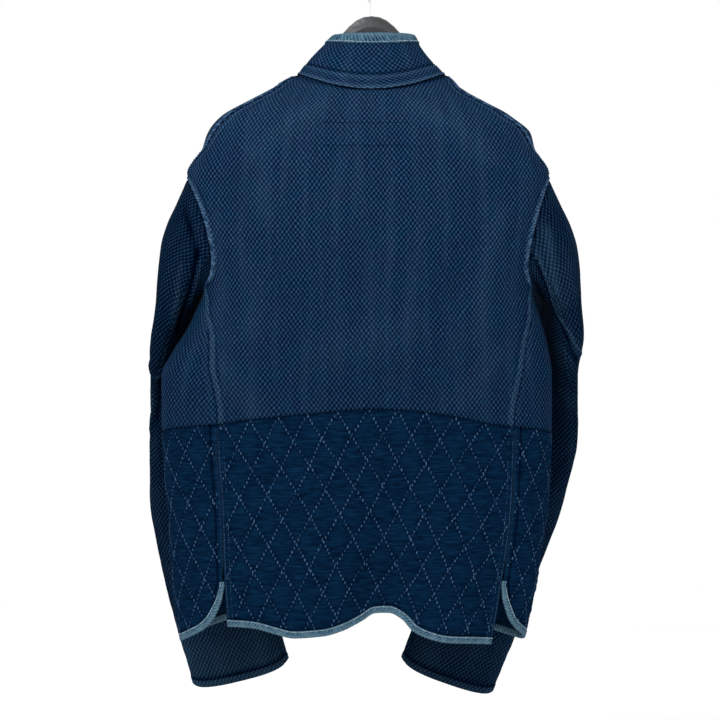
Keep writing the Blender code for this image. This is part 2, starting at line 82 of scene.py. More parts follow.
# Heights where the body's rows start to fall towards the band, where the hem is read and where the vents open
FALL_Z = -450.0
HEM_READ_Z = -840.0
VENT_Z = -758.0
# Top of the collar's strip above the neck seam, mm of h at the collar's bound edge, and drop over which the
# band's cushions grow below its top seam
STRIP_HIGH = 16.0
COLLAR_EDGE = 41.0
BAND_CALM = 7.0

# Stitches: length, width and height
SASHIKO = (4.0, 2.0, 0.7)
SEWN = (3.0, 0.8, 0.45)
BRAID = (7.6, 2.9, 0.9)
TAPE_STITCH = (2.8, 1.1, 0.5)
VENT_STITCH = (2.4, 0.9, 0.45)
PATCH_STITCH = (3.2, 1.0, 0.4)
COLLAR_STITCH = (2.6, 0.8, 0.4)
STRIP_STITCH = (2.9, 1.1, 0.5)
CUFF_STITCH = (2.8, 0.8, 0.4)
# Distance from one stitch to the next
SASHIKO_DROP = 4.75
SEWN_PACE = 4.2
BRAID_PACE = 4.3
TAPE_PACE = 2.9
VENT_PACE = 3.2
PATCH_PACE = 3.7
COLLAR_PACE = 3.4
STRIP_PACE = 3.9
CUFF_PACE = 3.6
BRAID_DEPTH = 4.3
BRAID_LIFT = 1.75
BRAID_SLANT = 0.8
SEAM_STITCH_DEPTH = 9.6
# Cloth in one degree round a sleeve, mm
DEGREE = 1.1

# Sections of the body: height, centre x, half width, back depth, front depth, exponent, drop at back
# and drop at front
BODY = np.array([
    (-147.0, -0.5, 93.0, 62.0, 70.0, 2.0, -25.0, -42.0),
    (-168.6, -6.0, 127.0, 67.0, 74.0, 2.1, -13.0, -24.0),
    (-184.0, -7.0, 156.0, 71.0, 77.0, 2.2, -9.0, -15.0),
    (-199.0, -8.0, 182.5, 75.0, 80.0, 2.3, -6.0, -9.0),
    (-222.0, -4.0, 205.0, 79.0, 82.0, 2.4, -2.0, -3.0),
    (-243.0, -4.0, 211.5, 82.0, 84.0, 2.5, 0.0, 0.0),
    (-276.0, -4.5, 228.5, 85.0, 85.0, 2.5, 0.0, 0.0),
    (-338.0, -6.0, 221.0, 88.0, 85.0, 2.6, 0.0, 0.0),
    (-416.0, -5.0, 209.0, 90.0, 84.0, 2.5, 0.0, 0.0),
    (-457.0, -6.5, 221.5, 91.0, 82.0, 2.4, 0.0, 0.0),
    (-498.0, -14.0, 239.0, 92.0, 80.0, 2.3, 0.0, 0.0),
    (-527.0, -18.6, 248.0, 93.0, 80.0, 2.3, 0.0, 0.0),
    (-598.0, -19.0, 247.0, 95.0, 80.0, 2.3, 0.0, 0.0),
    (-689.0, -17.5, 241.5, 95.0, 80.0, 2.3, 0.0, 0.0),
    (-778.0, -21.0, 232.0, 92.0, 80.0, 2.3, 0.0, 0.0),
    (-870.0, -25.0, 217.0, 88.0, 80.0, 2.3, 0.0, 0.0),
])
# Folds of the body: place along the girth, half width, height moved out at the hem, height where it starts
FOLDS = [
    (30.0, 30.0, -20.0, -560.0),
    (-82.0, 42.0, 10.0, -600.0),
    (128.0, 42.0, 10.0, -600.0),
    (-150.0, 26.0, -5.0, -450.0),
    (178.0, 26.0, -5.0, -450.0),
]
SHOULDER_Z = [-276.0, -262.0, -243.0, -222.0, -199.0, -184.0, -169.0, -158.0, -147.0]
SHOULDER_U = [0.25, 0.228, 0.203, 0.187, 0.18, 0.18, 0.182, 0.205, 0.235]
SIDE_Z = [-900.0, -560.0, -520.0, -480.0, -457.0, -430.0, -416.0]
SIDE_LEFT = [0.1155, 0.1155, 0.122, 0.147, 0.175, 0.205, 0.225]
SIDE_RIGHT = [0.139, 0.139, 0.148, 0.165, 0.185, 0.21, 0.225]
# Seam between the upper body and the band: turns and fall below BAND_Z
BAND_U = [-0.26, -0.195, -0.1125, -0.081, -0.054, -0.032, -0.0096, 0.0097, 0.0268, 0.0628, 0.115, 0.1955,
          0.26]
BAND_FALL = [34.0, 26.7, 19.4, 13.9, 10.0, 7.0, 3.2, 0.2, 1.4, 7.5, 20.3, 28.0, 34.0]
# Hem of the back: x and height
HEM_X = [-179.0, -148.0, -117.0, -97.0, -60.0, -37.0, -12.0, 2.0, 20.0, 36.0, 52.0, 68.0, 90.0, 120.0, 150.0]
HEM_Z = [-838.0, -839.0, -845.0, -849.0, -847.0, -841.0, -829.0, -821.0, -820.0, -827.0, -842.0, -849.0,
         -855.0, -858.0, -861.0]
# Rounded vent corner of each front: distance from the side seam and height
CORNER_D = [0.0, 4.0, 8.0, 16.0, 27.0, 42.0, 62.0, 85.0, 105.0, 150.0, 200.0, 260.0, 320.0, 600.0]
CORNER_Z = [-783.0, -795.0, -808.0, -822.0, -835.0, -845.0, -853.0, -860.0, -863.0, -857.0, -845.0, -832.0,
            -826.0, -825.0]
# Sleeves: centre x, y, z, turn of the long axis in degrees, half length and half thickness
SLEEVES = {
    "left": [
        (-240.0, 58.0, -440.0, 15.0, 88.0, 24.0),
        (-247.0, 76.0, -480.0, 18.0, 88.0, 21.0),
        (-239.0, 97.0, -527.0, 33.0, 79.0, 23.0),
        (-225.0, 106.0, -600.0, 53.0, 76.0, 25.0),
        (-221.0, 116.0, -700.0, 75.0, 70.0, 26.0),
        (-206.0, 117.0, -790.0, 85.0, 67.0, 25.0),
        (-189.0, 117.0, -860.0, 90.0, 66.0, 23.0),
        (-173.0, 116.0, -926.0, 90.0, 65.0, 19.0),
    ],
    "right": [
        (240.0, 58.0, -440.0, 15.0, 88.0, 24.0),
        (232.5, 72.0, -480.0, 20.0, 88.0, 23.0),
        (218.0, 92.0, -527.0, 33.0, 82.0, 25.0),
        (206.0, 106.0, -600.0, 53.0, 76.0, 26.0),
        (180.0, 116.0, -700.0, 75.0, 69.0, 26.0),
        (147.0, 117.0, -790.0, 85.0, 67.0, 25.0),
        (125.0, 117.0, -860.0, 90.0, 66.0, 23.0),
        (101.0, 116.0, -930.0, 90.0, 64.0, 19.0),
    ],
}
SLEEVE_SEAM_RING = [0.0, 1.0, 2.0, 3.0, 4.0, 9.0]
SLEEVE_SEAM_TURN = [112.5, 118.0, 118.0, 106.0, 84.0, 72.0]
SLEEVE_FRONT_TURN = 247.5

# Soft creases of the body, mm of girth and height: points along it, half width, height out
BODY_CREASES = [
    ([(-175.0, -290.0), (-120.0, -420.0)], 24.0, -1.6),
    ([(-140.0, -300.0), (-150.0, -470.0)], 18.0, 1.4),
    ([(150.0, -300.0), (105.0, -430.0)], 26.0, -1.6),
    ([(172.0, -330.0), (150.0, -480.0)], 16.0, 1.6),
    ([(-95.0, -190.0), (-150.0, -250.0)], 20.0, 1.2),
    ([(100.0, -190.0), (160.0, -255.0)], 20.0, 1.2),
    ([(-40.0, -380.0), (30.0, -400.0)], 34.0, -0.9),
    ([(60.0, -470.0), (-50.0, -500.0)], 26.0, 1.0),
    ([(-160.0, -520.0), (-110.0, -590.0)], 16.0, 1.5),
    ([(170.0, -500.0), (130.0, -560.0)], 16.0, 1.5),
    ([(-420.0, -300.0), (-470.0, -520.0)], 26.0, -1.8),
    ([(-350.0, -320.0), (-400.0, -560.0)], 20.0, 1.6),
    ([(430.0, -290.0), (470.0, -500.0)], 26.0, -1.8),
    ([(345.0, -310.0), (395.0, -550.0)], 20.0, 1.6),
    ([(-515.0, -220.0), (-505.0, -540.0)], 18.0, 1.2),
    ([(515.0, -220.0), (505.0, -540.0)], 18.0, 1.2),
    ([(-300.0, -430.0), (-330.0, -560.0)], 14.0, -1.8),
    ([(300.0, -430.0), (330.0, -560.0)], 14.0, -1.8),
]
# Raised seam of the right sleeve, degrees round and mm from the armhole
SLEEVE_SEAM_PATH = [(104.0, 8.0), (119.0, 44.0), (130.0, 70.0), (131.0, 100.0), (115.0, 119.0), (92.0, 137.0),
                    (72.0, 146.0)]
# Soft creases of the sleeves, degrees round and mm from the armhole: points along it, half width in mm,
# height out
SLEEVE_CREASES = {
    "left": [
        ([(50.0, 5.0), (80.0, 7.0), (104.0, 9.0)], 6.0, 2.6),
        ([(46.0, 17.0), (75.0, 20.0), (100.0, 22.0)], 5.0, -3.0),
        ([(100.0, 22.0), (118.0, 40.0), (131.0, 56.0), (138.0, 90.0), (137.0, 124.0)], 6.0, -3.6),
        ([(112.0, 20.0), (135.0, 42.0), (150.0, 72.0)], 6.0, 2.6),
        ([(92.0, 45.0), (112.0, 75.0), (118.0, 112.0)], 8.0, 1.8),
        ([(60.0, 170.0), (92.0, 188.0), (112.0, 180.0)], 6.0, 2.4),
        ([(109.0, 196.0), (110.0, 225.0), (104.0, 262.0)], 6.0, -3.0),
        ([(84.0, 205.0), (92.0, 240.0), (80.0, 275.0)], 6.0, 2.2),
        ([(130.0, 300.0), (200.0, 370.0)], 14.0, -1.6),
        ([(20.0, 90.0), (-60.0, 160.0)], 14.0, -2.2),
        ([(-80.0, 150.0), (10.0, 215.0)], 13.0, 2.2),
        ([(-100.0, 230.0), (-10.0, 260.0)], 11.0, -2.4),
        ([(-30.0, 300.0), (40.0, 400.0)], 16.0, 1.4),
        ([(170.0, 430.0), (220.0, 500.0)], 14.0, 1.2),
    ],
    "right": [
        ([(112.0, 8.0), (127.0, 44.0), (139.0, 70.0), (140.0, 104.0), (126.0, 126.0), (103.0, 146.0),
          (82.0, 156.0)], 3.6, -3.4),
        (SLEEVE_SEAM_PATH, 4.2, 2.4),
        ([(140.0, 12.0), (160.0, 40.0), (172.0, 80.0)], 8.0, -2.6),
        ([(75.0, 22.0), (98.0, 40.0), (112.0, 64.0)], 9.0, 2.0),
        ([(120.0, 320.0), (190.0, 400.0)], 14.0, -1.6),
        ([(30.0, 100.0), (-50.0, 170.0)], 14.0, -2.2),
        ([(-70.0, 160.0), (15.0, 230.0)], 13.0, 2.2),
        ([(-100.0, 240.0), (-15.0, 275.0)], 11.0, -2.4),
        ([(-20.0, 320.0), (50.0, 420.0)], 16.0, 1.4),
        ([(160.0, 450.0), (215.0, 520.0)], 14.0, 1.2),
    ],
}


def smooth(xs, ys, at):
    """Monotone cubic through the given values, held level past both ends."""
    xs = np.asarray(xs, float)
    ys = np.asarray(ys, float)
    if xs[0] > xs[-1]:
        xs = xs[::-1]
        ys = ys[::-1]
    step = np.diff(ys) / np.diff(xs)
    slope = np.empty_like(ys)
    slope[0] = step[0]
    slope[-1] = step[-1]
    product = step[:-1] * step[1:]
    total = np.where(product > 0, step[:-1] + step[1:], 1.0)
    slope[1:-1] = np.where(product > 0, 2 * product / total, 0.0)
    at = np.clip(np.asarray(at, float), xs[0], xs[-1])
    i = np.clip(np.searchsorted(xs, at) - 1, 0, len(xs) - 2)
    width = xs[i + 1] - xs[i]
    t = (at - xs[i]) / width
    a = ys[i] * (1 + 2 * t) * (1 - t) ** 2 + slope[i] * width * t * (1 - t) ** 2
    return a + ys[i + 1] * t * t * (3 - 2 * t) + slope[i + 1] * width * t * t * (t - 1)


def ramp(value):
    t = np.clip(value, 0.0, 1.0)
    return t * t * (3 - 2 * t)


def bell(distance, width):
    return np.exp(-((distance / width) ** 2))


def unit(vectors):
    return vectors / np.maximum(np.linalg.norm(vectors, axis=-1, keepdims=True), 1e-9)


def distances(points):
    """Distance of each point of a line from its start."""
    return np.concatenate([[0.0], np.cumsum(np.linalg.norm(np.diff(points, axis=0), axis=1))])


def body_plain(u, z):
    """Body surface without folds. u is in turns from the back centre, negative to the left as seen."""
    cx, a, back, front, power, drop_b, drop_f = [smooth(BODY[:, 0], BODY[:, k], z) for k in range(1, 8)]
    sn = np.sin(TWO_PI * u)
    cs = np.cos(TWO_PI * u)
    e = 2.0 / power
    x = cx + a * np.sign(sn) * np.abs(sn) ** e
    y = np.where(cs > 0, -back, front) * np.abs(cs) ** e
    lift = np.where(cs > 0, drop_b, drop_f) * cs * cs
    return np.stack(np.broadcast_arrays(x, y, z + lift), -1)


TURNS = np.linspace(0.0, 0.5, 1201)
RIM = body_plain(TURNS, np.full_like(TURNS, HIP_Z))
GIRTH = distances(RIM)
HALF_GIRTH = float(GIRTH[-1])


def girth_of(u):
    return np.sign(u) * np.interp(np.abs(u), TURNS, GIRTH)


def turns_of(s):
    return np.sign(s) * np.interp(np.abs(s), GIRTH, TURNS)


def body(s, z):
    """Body surface with its large folds. s is the girth from the back centre at the height of the hips."""
    s = np.asarray(s, float)
    z = np.asarray(z, float)
    point = body_plain(turns_of(s), z)
    out = 0.0
    for place, width, height, start in FOLDS:
        grow = ramp((start - z) / (start - BODY_LOW_Z))
        out = out + height * bell(s - place, width) * grow
    point[..., 1] = point[..., 1] - out
    return point


def normals(surface, s, z, ds=0.6, dz=0.6):
    across = surface(s + ds, z) - surface(s - ds, z)
    up = surface(s, z + dz) - surface(s, z - dz)
    return unit(np.cross(across, up))


def stretch_at(s, z):
    """Cloth in one mm of the girth at a place on the body."""
    return np.linalg.norm(body(s + 1.0, z) - body(s - 1.0, z), axis=-1) / 2


def band_top(u):
    return BAND_Z - smooth(BAND_U, BAND_FALL, u)


def collar(s, h):
    """Stand collar, from the neck seam at h = 0 to its top edge at h = 1."""
    u = turns_of(s)
    foot = body_plain(u, np.full_like(u, NECK_Z))
    sn = np.sin(TWO_PI * u)
    cs = np.cos(TWO_PI * u)
    top_x = 2.5 + 53.0 * sn
    top_y = np.where(cs > 0, -50.0, 74.0) * np.abs(cs)
    top_z = COLLAR_TOP_Z + np.where(cs > 0, 0.0, -10.0) * cs * cs + 3.0 * sn * sn
    top = np.stack([top_x, top_y, top_z], -1)
    k = np.asarray(h, float)[..., None]
    lean = np.sin(math.pi * np.clip(k, 0.0, 1.0)) * np.stack([-3.0 * np.abs(sn), 0.0 * sn, 0.0 * sn], -1)
    return foot + (top - foot) * k + lean


def arm_edge(side, turn):
    """Turns and height of the armhole at an angle: 0 top, 90 back, 180 under the arm, 270 front."""
    t = np.radians(turn)
    mid = 0.25 - ARM_SHIFT * (1 - np.cos(t))
    reach = np.where(np.sin(t) > 0, ARM_SPREAD_BACK[int(side)], ARM_SPREAD_FRONT[int(side)])
    u = mid - reach * np.sin(t)
    return side * u, ARM_MID_Z + ARM_HALF * np.cos(t)


def sleeve_ring(name, ring, turn):
    """One whole ring of a sleeve. Ring 0 is the armhole, ring 1 is worked out between 0 and 2."""
    side = -1.0 if name == "left" else 1.0
    if ring <= 0:
        u, z = arm_edge(side, turn)
        return body(girth_of(u), z)
    if ring == 1:
        mean = 0.5 * (sleeve_ring(name, 0, turn) + sleeve_ring(name, 2, turn))
        out = 0.5 + 0.5 * np.cos(np.radians(turn))
        push = [side * (5.0 + 10.0 * out), -3.0 * np.sin(np.radians(turn)), 5.0 * out]
        return mean + np.stack(push, -1)
    rows = SLEEVES[name]
    i = min(ring - 2, len(rows) - 1)
    x, y, z, yaw, length, thick = rows[i]
    before = np.array(rows[max(i - 1, 0)][:3])
    after = np.array(rows[min(i + 1, len(rows) - 1)][:3])
    down = (after - before) / np.linalg.norm(after - before)
    long_axis = np.array([-side * math.sin(math.radians(yaw)), math.cos(math.radians(yaw)), 0.0])
    long_axis = unit(long_axis - down * np.dot(long_axis, down))
    out_axis = np.cross(long_axis, down) * -side
    t = np.radians(np.asarray(turn, float))
    cs = np.cos(t)
    sn = np.sin(t)
    e = 0.9
    bow = 0.0
    if ring > len(rows):
        bow = CUFF_BOW * np.abs(sn) ** 2.5 + CUFF_CORNER * np.abs(sn) ** 10 - CUFF_BOW
    flat = (np.sign(cs) * np.abs(cs) ** e)[..., None] * out_axis * thick
    wide = (np.sign(sn) * np.abs(sn) ** e)[..., None] * long_axis * length
    return np.stack(np.broadcast_arrays(x, y, z + bow), -1) + flat - wide


def sleeve(name, turn, ring):
    """Sleeve surface: a cubic through whole rings."""
    ring = np.asarray(ring, float)
    turn = np.broadcast_to(np.asarray(turn, float), ring.shape) + 0.0 * ring
    last = len(SLEEVES[name]) + 1
    rings = [sleeve_ring(name, k, turn) for k in range(last + 1)]
    rings = [2 * rings[0] - rings[1]] + rings + [2 * rings[-1] - rings[-2]]
    stack = np.stack(rings, 0)
    base = np.clip(np.floor(ring).astype(int), 0, last - 1)
    f = (ring - base)[..., None]
    pick = np.indices(ring.shape)
    a, b, c, d = [stack[(base + k, *pick)] for k in range(4)]
    m1 = (c - a) / 2
    m2 = (d - b) / 2
    start = b * (1 + 2 * f) * (1 - f) ** 2 + m1 * f * (1 - f) ** 2
    return start + c * f * f * (3 - 2 * f) + m2 * f * f * (f - 1)


def sleeve_frame(name, turn, ring):
    """Outward normals of a sleeve and its direction down the arm."""
    side = -1.0 if name == "left" else 1.0
    near = np.clip(ring, 0.02, CUFF_RING - 0.02)
    around = sleeve(name, turn + 1.0, near) - sleeve(name, turn - 1.0, near)
    down = sleeve(name, turn, near + 0.02) - sleeve(name, turn, near - 0.02)
    n = unit(np.cross(around, down) * side)
    u, z = arm_edge(side, turn)
    first = normals(body, girth_of(u), z)
    mix = np.clip(1.0 - ring / 0.5, 0.0, 1.0)[..., None]
    return unit(n * (1 - mix) + first * mix), unit(down)


def creases(a, b, lines, scale=1.0):
    """Height of soft ridges and troughs along bent lines. scale is mm for each unit of a."""
    total = np.zeros(np.broadcast(a, b).shape)
    for path, wide, high in lines:
        near = np.full(total.shape, 1e9)
        for (a0, b0), (a1, b1) in zip(path[:-1], path[1:]):
            run_a = (a1 - a0) * scale
            run_b = b1 - b0
            away_a = (a - a0) * scale
            away_b = b - b0
            t = np.clip((away_a * run_a + away_b * run_b) / (run_a * run_a + run_b * run_b), 0.0, 1.0)
            near = np.minimum(near, np.hypot(away_a - t * run_a, away_b - t * run_b))
        total = total + high * bell(near, wide)
    return total


def ripples(a, b, length, seed, count=7):
    """Even, aimless waves of about the given length, between about -1 and 1."""
    draw = np.random.RandomState(seed)
    total = np.zeros(np.broadcast(a, b).shape)
    for _ in range(count):
        way = draw.uniform(0.0, math.pi)
        size = length * draw.uniform(0.7, 1.5)
        phase = draw.uniform(0.0, TWO_PI)
        total = total + np.sin(TWO_PI * (a * math.cos(way) + b * math.sin(way)) / size + phase)
    return total / math.sqrt(count)


def unrolled(points, across, up):
    """Flat coordinates of a grid of points, from the directions of the threads at each one."""
    rows, cols = points.shape[:2]
    flat = []
    for way in (across, up):
        div = np.zeros((rows, cols))
        step = np.sum((points[:, 1:] - points[:, :-1]) * 0.5 * (way[:, 1:] + way[:, :-1]), -1)
        div[:, :-1] += step
        div[:, 1:] -= step
        step = np.sum((points[1:] - points[:-1]) * 0.5 * (way[1:] + way[:-1]), -1)
        div[:-1] += step
        div[1:] -= step
        mirrored = np.concatenate([div, div[::-1]], 0)
        mirrored = np.concatenate([mirrored, mirrored[:, ::-1]], 1)
        waves_r = 2 * np.cos(math.pi * np.arange(2 * rows) / rows)
        waves_c = 2 * np.cos(math.pi * np.arange(2 * cols) / cols)
        weight = waves_r[:, None] + waves_c[None, :] - 4.0
        weight[0, 0] = 1.0
        spectrum = np.fft.fft2(mirrored) / weight
        spectrum[0, 0] = 0.0
        flat.append(np.real(np.fft.ifft2(spectrum))[:rows, :cols])
    return np.stack(flat, -1)


def spread(span, step, edge=(0.9, 2.2, 3.8, 5.6, 7.4, 8.6, 9.6, 10.8)):
    """Shares from 0 to 1 along a span in mm, closer together near both ends."""
    ends = [e for e in edge if e < span / 3]
    last = ends[-1] if ends else 0.0
    count = max(2, int(round((span - 2 * last) / step)))
    middle = np.linspace(last, span - last, count + 1)[1:-1]
    places = [0.0] + ends + list(middle) + [span - e for e in reversed(ends)] + [span]
    return np.array(places) / span


def make_mesh(name, points, faces, finish, flat=None, marks=None):
    """Mesh object from points in mm. flat gives each point's place in the cloth, marks its named values."""
    mesh = bpy.data.meshes.new(name)
    mesh.from_pydata((np.asarray(points) * 0.001).tolist(), [], faces)
    corner = np.empty(len(mesh.loops), np.int32)
    mesh.loops.foreach_get("vertex_index", corner)
    if flat is not None:
        layer = mesh.uv_layers.new(name="Cloth")
        layer.data.foreach_set("uv", np.asarray(flat, np.float32)[corner].reshape(-1))
    for key, values in (marks or {}).items():
        mark = mesh.attributes.new(key, "FLOAT", "POINT")
        mark.data.foreach_set("value", np.asarray(values, np.float32))
    mesh.shade_smooth()
    mesh.update()
    thing = bpy.data.objects.new(name, mesh)
    bpy.context.scene.collection.objects.link(thing)
    thing.data.materials.append(finish)
    return thing


def inside_out(points, faces):
    faces = np.asarray(faces)
    a, b, c, d = [points[faces[:, k]] for k in range(4)]
    total = np.sum(a * np.cross(b, c)) + np.sum(a * np.cross(c, d))
    return total < 0


def shell(name, outer, inner, flat, wear_and_painted_light, finish):
    """Closed cloth wall between two grids of points."""
    rows, cols = outer.shape[:2]
    count = rows * cols
    index = np.arange(count).reshape(rows, cols)
    quads = np.stack([index[:-1, :-1], index[1:, :-1], index[1:, 1:], index[:-1, 1:]], -1).reshape(-1, 4)
    rim = np.concatenate([index[0, :-1], index[:-1, -1], index[-1, :0:-1], index[:0:-1, 0]])
    after = np.roll(rim, -1)
    sides = np.stack([rim, after, after + count, rim + count], -1)
    faces = np.concatenate([quads, quads[:, ::-1] + count, sides])
    points = np.concatenate([outer.reshape(-1, 3), inner.reshape(-1, 3)])
    if inside_out(points, faces):
        faces = faces[:, ::-1]
    flat = np.tile(flat.reshape(-1, 2), (2, 1))
    wear_and_painted_light = np.concatenate([wear_and_painted_light.reshape(-1), wear_and_painted_light.reshape(-1) * 0.0])
    return make_mesh(name, points, faces.tolist(), finish, flat, {"wear_and_painted_light": wear_and_painted_light})


def cut_area(points):
    """Area of a grid of points in square metres."""
    one = np.cross(points[1:, :-1] - points[:-1, :-1], points[:-1, 1:] - points[:-1, :-1])
    two = np.cross(points[1:, :-1] - points[1:, 1:], points[:-1, 1:] - points[1:, 1:])
    return float(0.5e-6 * (np.linalg.norm(one, axis=-1).sum() + np.linalg.norm(two, axis=-1).sum()))


class Value:
    """One output in a finish. Arithmetic on it adds Math nodes."""

    def __init__(self, finish, socket):
        self.finish = finish
        self.socket = socket

    def math(self, operation, *others):
        return self.finish.node("ShaderNodeMath", {"operation": operation}, [self, *others])

    def __add__(self, other):
        return self.math("ADD", other)

    def __sub__(self, other):
        return self.math("SUBTRACT", other)

    def __rsub__(self, other):
        return self.finish.node("ShaderNodeMath", {"operation": "SUBTRACT"}, [other, self])

    def __mul__(self, other):
        return self.math("MULTIPLY", other)

    def __truediv__(self, other):
        return self.math("DIVIDE", other)

    __radd__ = __add__
    __rmul__ = __mul__

    def cos(self):
        return self.math("COSINE")

    def round(self):
        return self.math("ROUND")


class Finish:
    """A material and the nodes that make it."""

    def __init__(self, name, roughness=0.9, metallic=0.0, gloss=0.005):
        self.material = bpy.data.materials.new(name)
        self.material.use_nodes = True
        self.tree = self.material.node_tree
        self.shader = self.tree.nodes["Principled BSDF"]
        self.shader.inputs["Roughness"].default_value = roughness
        self.shader.inputs["Metallic"].default_value = metallic
        self.shader.inputs["Specular IOR Level"].default_value = gloss

    def node(self, kind, settings, values, out=0):
        made = self.tree.nodes.new(kind)
        for key, value in settings.items():
            setattr(made, key, value)
        places = values.items() if isinstance(values, dict) else enumerate(values)
        for place, value in places:
            self.fill(made.inputs[place], value)
        return Value(self, made.outputs[out])

    def fill(self, socket, value):
        if isinstance(value, Value):
            self.tree.links.new(value.socket, socket)
        else:
            socket.default_value = value

    def give(self, name, value):
        self.fill(self.shader.inputs[name], value)

    def mix(self, share, one, two, blend="MIX"):
        settings = {"data_type": "RGBA", "blend_type": blend}
        return self.node("ShaderNodeMix", settings, {0: share, 6: one, 7: two}, 2)

    def step(self, value, low, high):
        values = {"Value": value, "From Min": low, "From Max": high}
        return self.node("ShaderNodeMapRange", {"interpolation_type": "SMOOTHSTEP"}, values)

    def noise(self, where, scale, detail=2.0, out=0):
        return self.node("ShaderNodeTexNoise", {}, {"Vector": where, "Scale": scale, "Detail": detail}, out)

    def vector(self, operation, one, two):
        return self.node("ShaderNodeVectorMath", {"operation": operation}, [one, two])

    def scaled(self, place, x, y, z=1.0):
        return self.vector("MULTIPLY", place, (x, y, z))

    def object_place(self):
        return self.node("ShaderNodeTexCoord", {}, {}, 3)

    def cloth_place(self):
        return self.node("ShaderNodeUVMap", {"uv_map": "Cloth"}, {})

    def mark(self, name):
        return self.node("ShaderNodeAttribute", {"attribute_name": name}, {}, 2)

    def parts(self, vector):
        x = self.node("ShaderNodeSeparateXYZ", {}, [vector])
        return x, Value(self, x.socket.node.outputs[1])

    def bump(self, height, distance):
        self.give("Normal", self.node("ShaderNodeBump", {}, {"Height": height, "Distance": distance}))


def shade(red, green, blue, level=1.0):
    """Linear colour from a screen colour of 0 to 255, with a share of light."""
    linear = []
    for part in (red, green, blue):
        part = part / 255.0
        linear.append(level * (part / 12.92 if part <= 0.04045 else ((part + 0.055) / 1.055) ** 2.4))
    return (*linear, 1.0)


# Tints of the indigo in clouds
TEAL = (0.55, 1.1, 1.02, 1.0)
VIOLET = (1.3, 0.85, 0.98, 1.0)


def grain_cloth(name, hole, net, grain, lighter_tone, rib):
    """Rice-grain weave: raised grains in slanting ribs with small dark holes between them."""
    f = Finish(name)
    place = f.cloth_place()
    drift = f.vector("SUBTRACT", f.noise(place, 0.05, 1.0, 1), (0.5, 0.5, 0.5))
    tremble = f.vector("SUBTRACT", f.noise(place, 0.2, 1.0, 1), (0.5, 0.5, 0.5))
    moved = f.vector("ADD", place, f.scaled(drift, 4.0, 4.0, 0.0))
    moved = f.vector("ADD", moved, f.scaled(tremble, 1.2, 1.2, 0.0))
    x, y = f.parts(moved)
    x = x / GRAIN_WIDE
    y = y / GRAIN_HIGH
    lean = f.noise(place, 0.018, 1.0)
    rising = ((x - y) * TWO_PI).cos()
    falling = ((x + y) * TWO_PI).cos()
    wave = rising * (rib + 0.3 * lean) + falling * (1.0 - rib - 0.3 * lean)
    cell = f.node("ShaderNodeCombineXYZ", {}, [(x * 2.0).round(), (y * 2.0).round(), 0.0])
    chance = f.node("ShaderNodeTexWhiteNoise", {}, {"Vector": cell})
    thread = f.noise(f.scaled(place, 1.3, 0.8), 1.0, 2.0)
    colour = f.mix(f.step(wave, -0.9, 0.35), hole, net)
    bright = f.step(wave, -0.1, 1.0) * (0.35 + 0.35 * chance) * (0.4 + 1.2 * thread)
    colour = f.mix(bright, colour, grain)
    patch = f.noise(place, 0.035, 3.0)
    other = f.noise(f.vector("ADD", place, (310.0, 170.0, 0.0)), 0.05, 4.0)
    colour = f.mix(f.step(patch, 0.42, 0.7) * 0.8, colour, TEAL, "MULTIPLY")
    colour = f.mix(f.step(other, 0.52, 0.74) * 0.7, colour, VIOLET, "MULTIPLY")
    streak = f.noise(f.scaled(place, 0.06, 0.005), 1.0, 3.0)
    colour = f.mix(f.step(streak, 0.42, 0.75) * 0.1, colour, grain)
    # Above zero the mark lightens towards the lighter tone, partly real rubbing and partly painted highlight;
    # below zero it darkens towards the hole colour as painted shade
    wear_and_painted_light = f.mark("wear_and_painted_light")
    colour = f.mix(wear_and_painted_light * (0.35 + 0.65 * f.step(wave, -0.4, 0.9)), colour, lighter_tone)
    colour = f.mix(wear_and_painted_light * -1.0, colour, hole)
    # Painted shade: darker towards the hole colour lower down, from 0.24 m to 0.6 m below the origin
    height = f.node("ShaderNodeSeparateXYZ", {}, [f.object_place()], 2)
    colour = f.mix(f.step(height, -0.24, -0.6) * 0.28, colour, hole)
    f.give("Base Color", colour)
    f.give("Roughness", 0.84 + 0.12 * thread)
    f.bump(f.step(wave, -0.95, 0.75) * (0.8 + 0.2 * chance) + 0.16 * thread, 0.0011)
    return f.material


def band_cloth(name, deep, mid, streak, lighter_tone):
    """Plain weave of the band, with slubs along the weft and fine puckers between the stitched lines."""
    f = Finish(name)
    place = f.cloth_place()
    slub = f.noise(f.scaled(place, 0.04, 0.5), 1.0, 3.0)
    cloud = f.noise(place, 0.03, 3.0)
    x, y = f.parts(place)
    weave = (x * (TWO_PI / 1.15)).cos() * (y * (TWO_PI / 1.05)).cos()
    thread = f.noise(f.scaled(place, 1.6, 1.4), 1.0, 2.0)
    pucker = f.noise(f.scaled(place, 0.07, 0.22), 1.0, 2.0)
    # Deep colour in random clouds and, as painted shade, in the pucker troughs that the bump sinks
    colour = f.mix(f.step(cloud, 0.3, 0.7) * 0.35 + f.step(pucker, 0.36, 0.62) * 0.65, deep, mid)
    colour = f.mix(f.step(slub, 0.45, 0.75) * 0.7, colour, streak)
    colour = f.mix(f.step(weave, -1.0, 1.0) * 0.18 + thread * 0.2, colour, streak)
    # Above zero the mark lightens towards the lighter tone; below zero it darkens towards the deep colour as
    # painted shade
    wear_and_painted_light = f.mark("wear_and_painted_light")
    colour = f.mix(wear_and_painted_light, colour, lighter_tone)
    colour = f.mix(wear_and_painted_light * -1.0, colour, deep)
    f.give("Base Color", colour)
    f.give("Roughness", 0.86 + 0.1 * thread)
    f.bump(pucker * 1.0 + slub * 0.3 + weave * 0.04 + thread * 0.06, 0.0032)
    return f.material


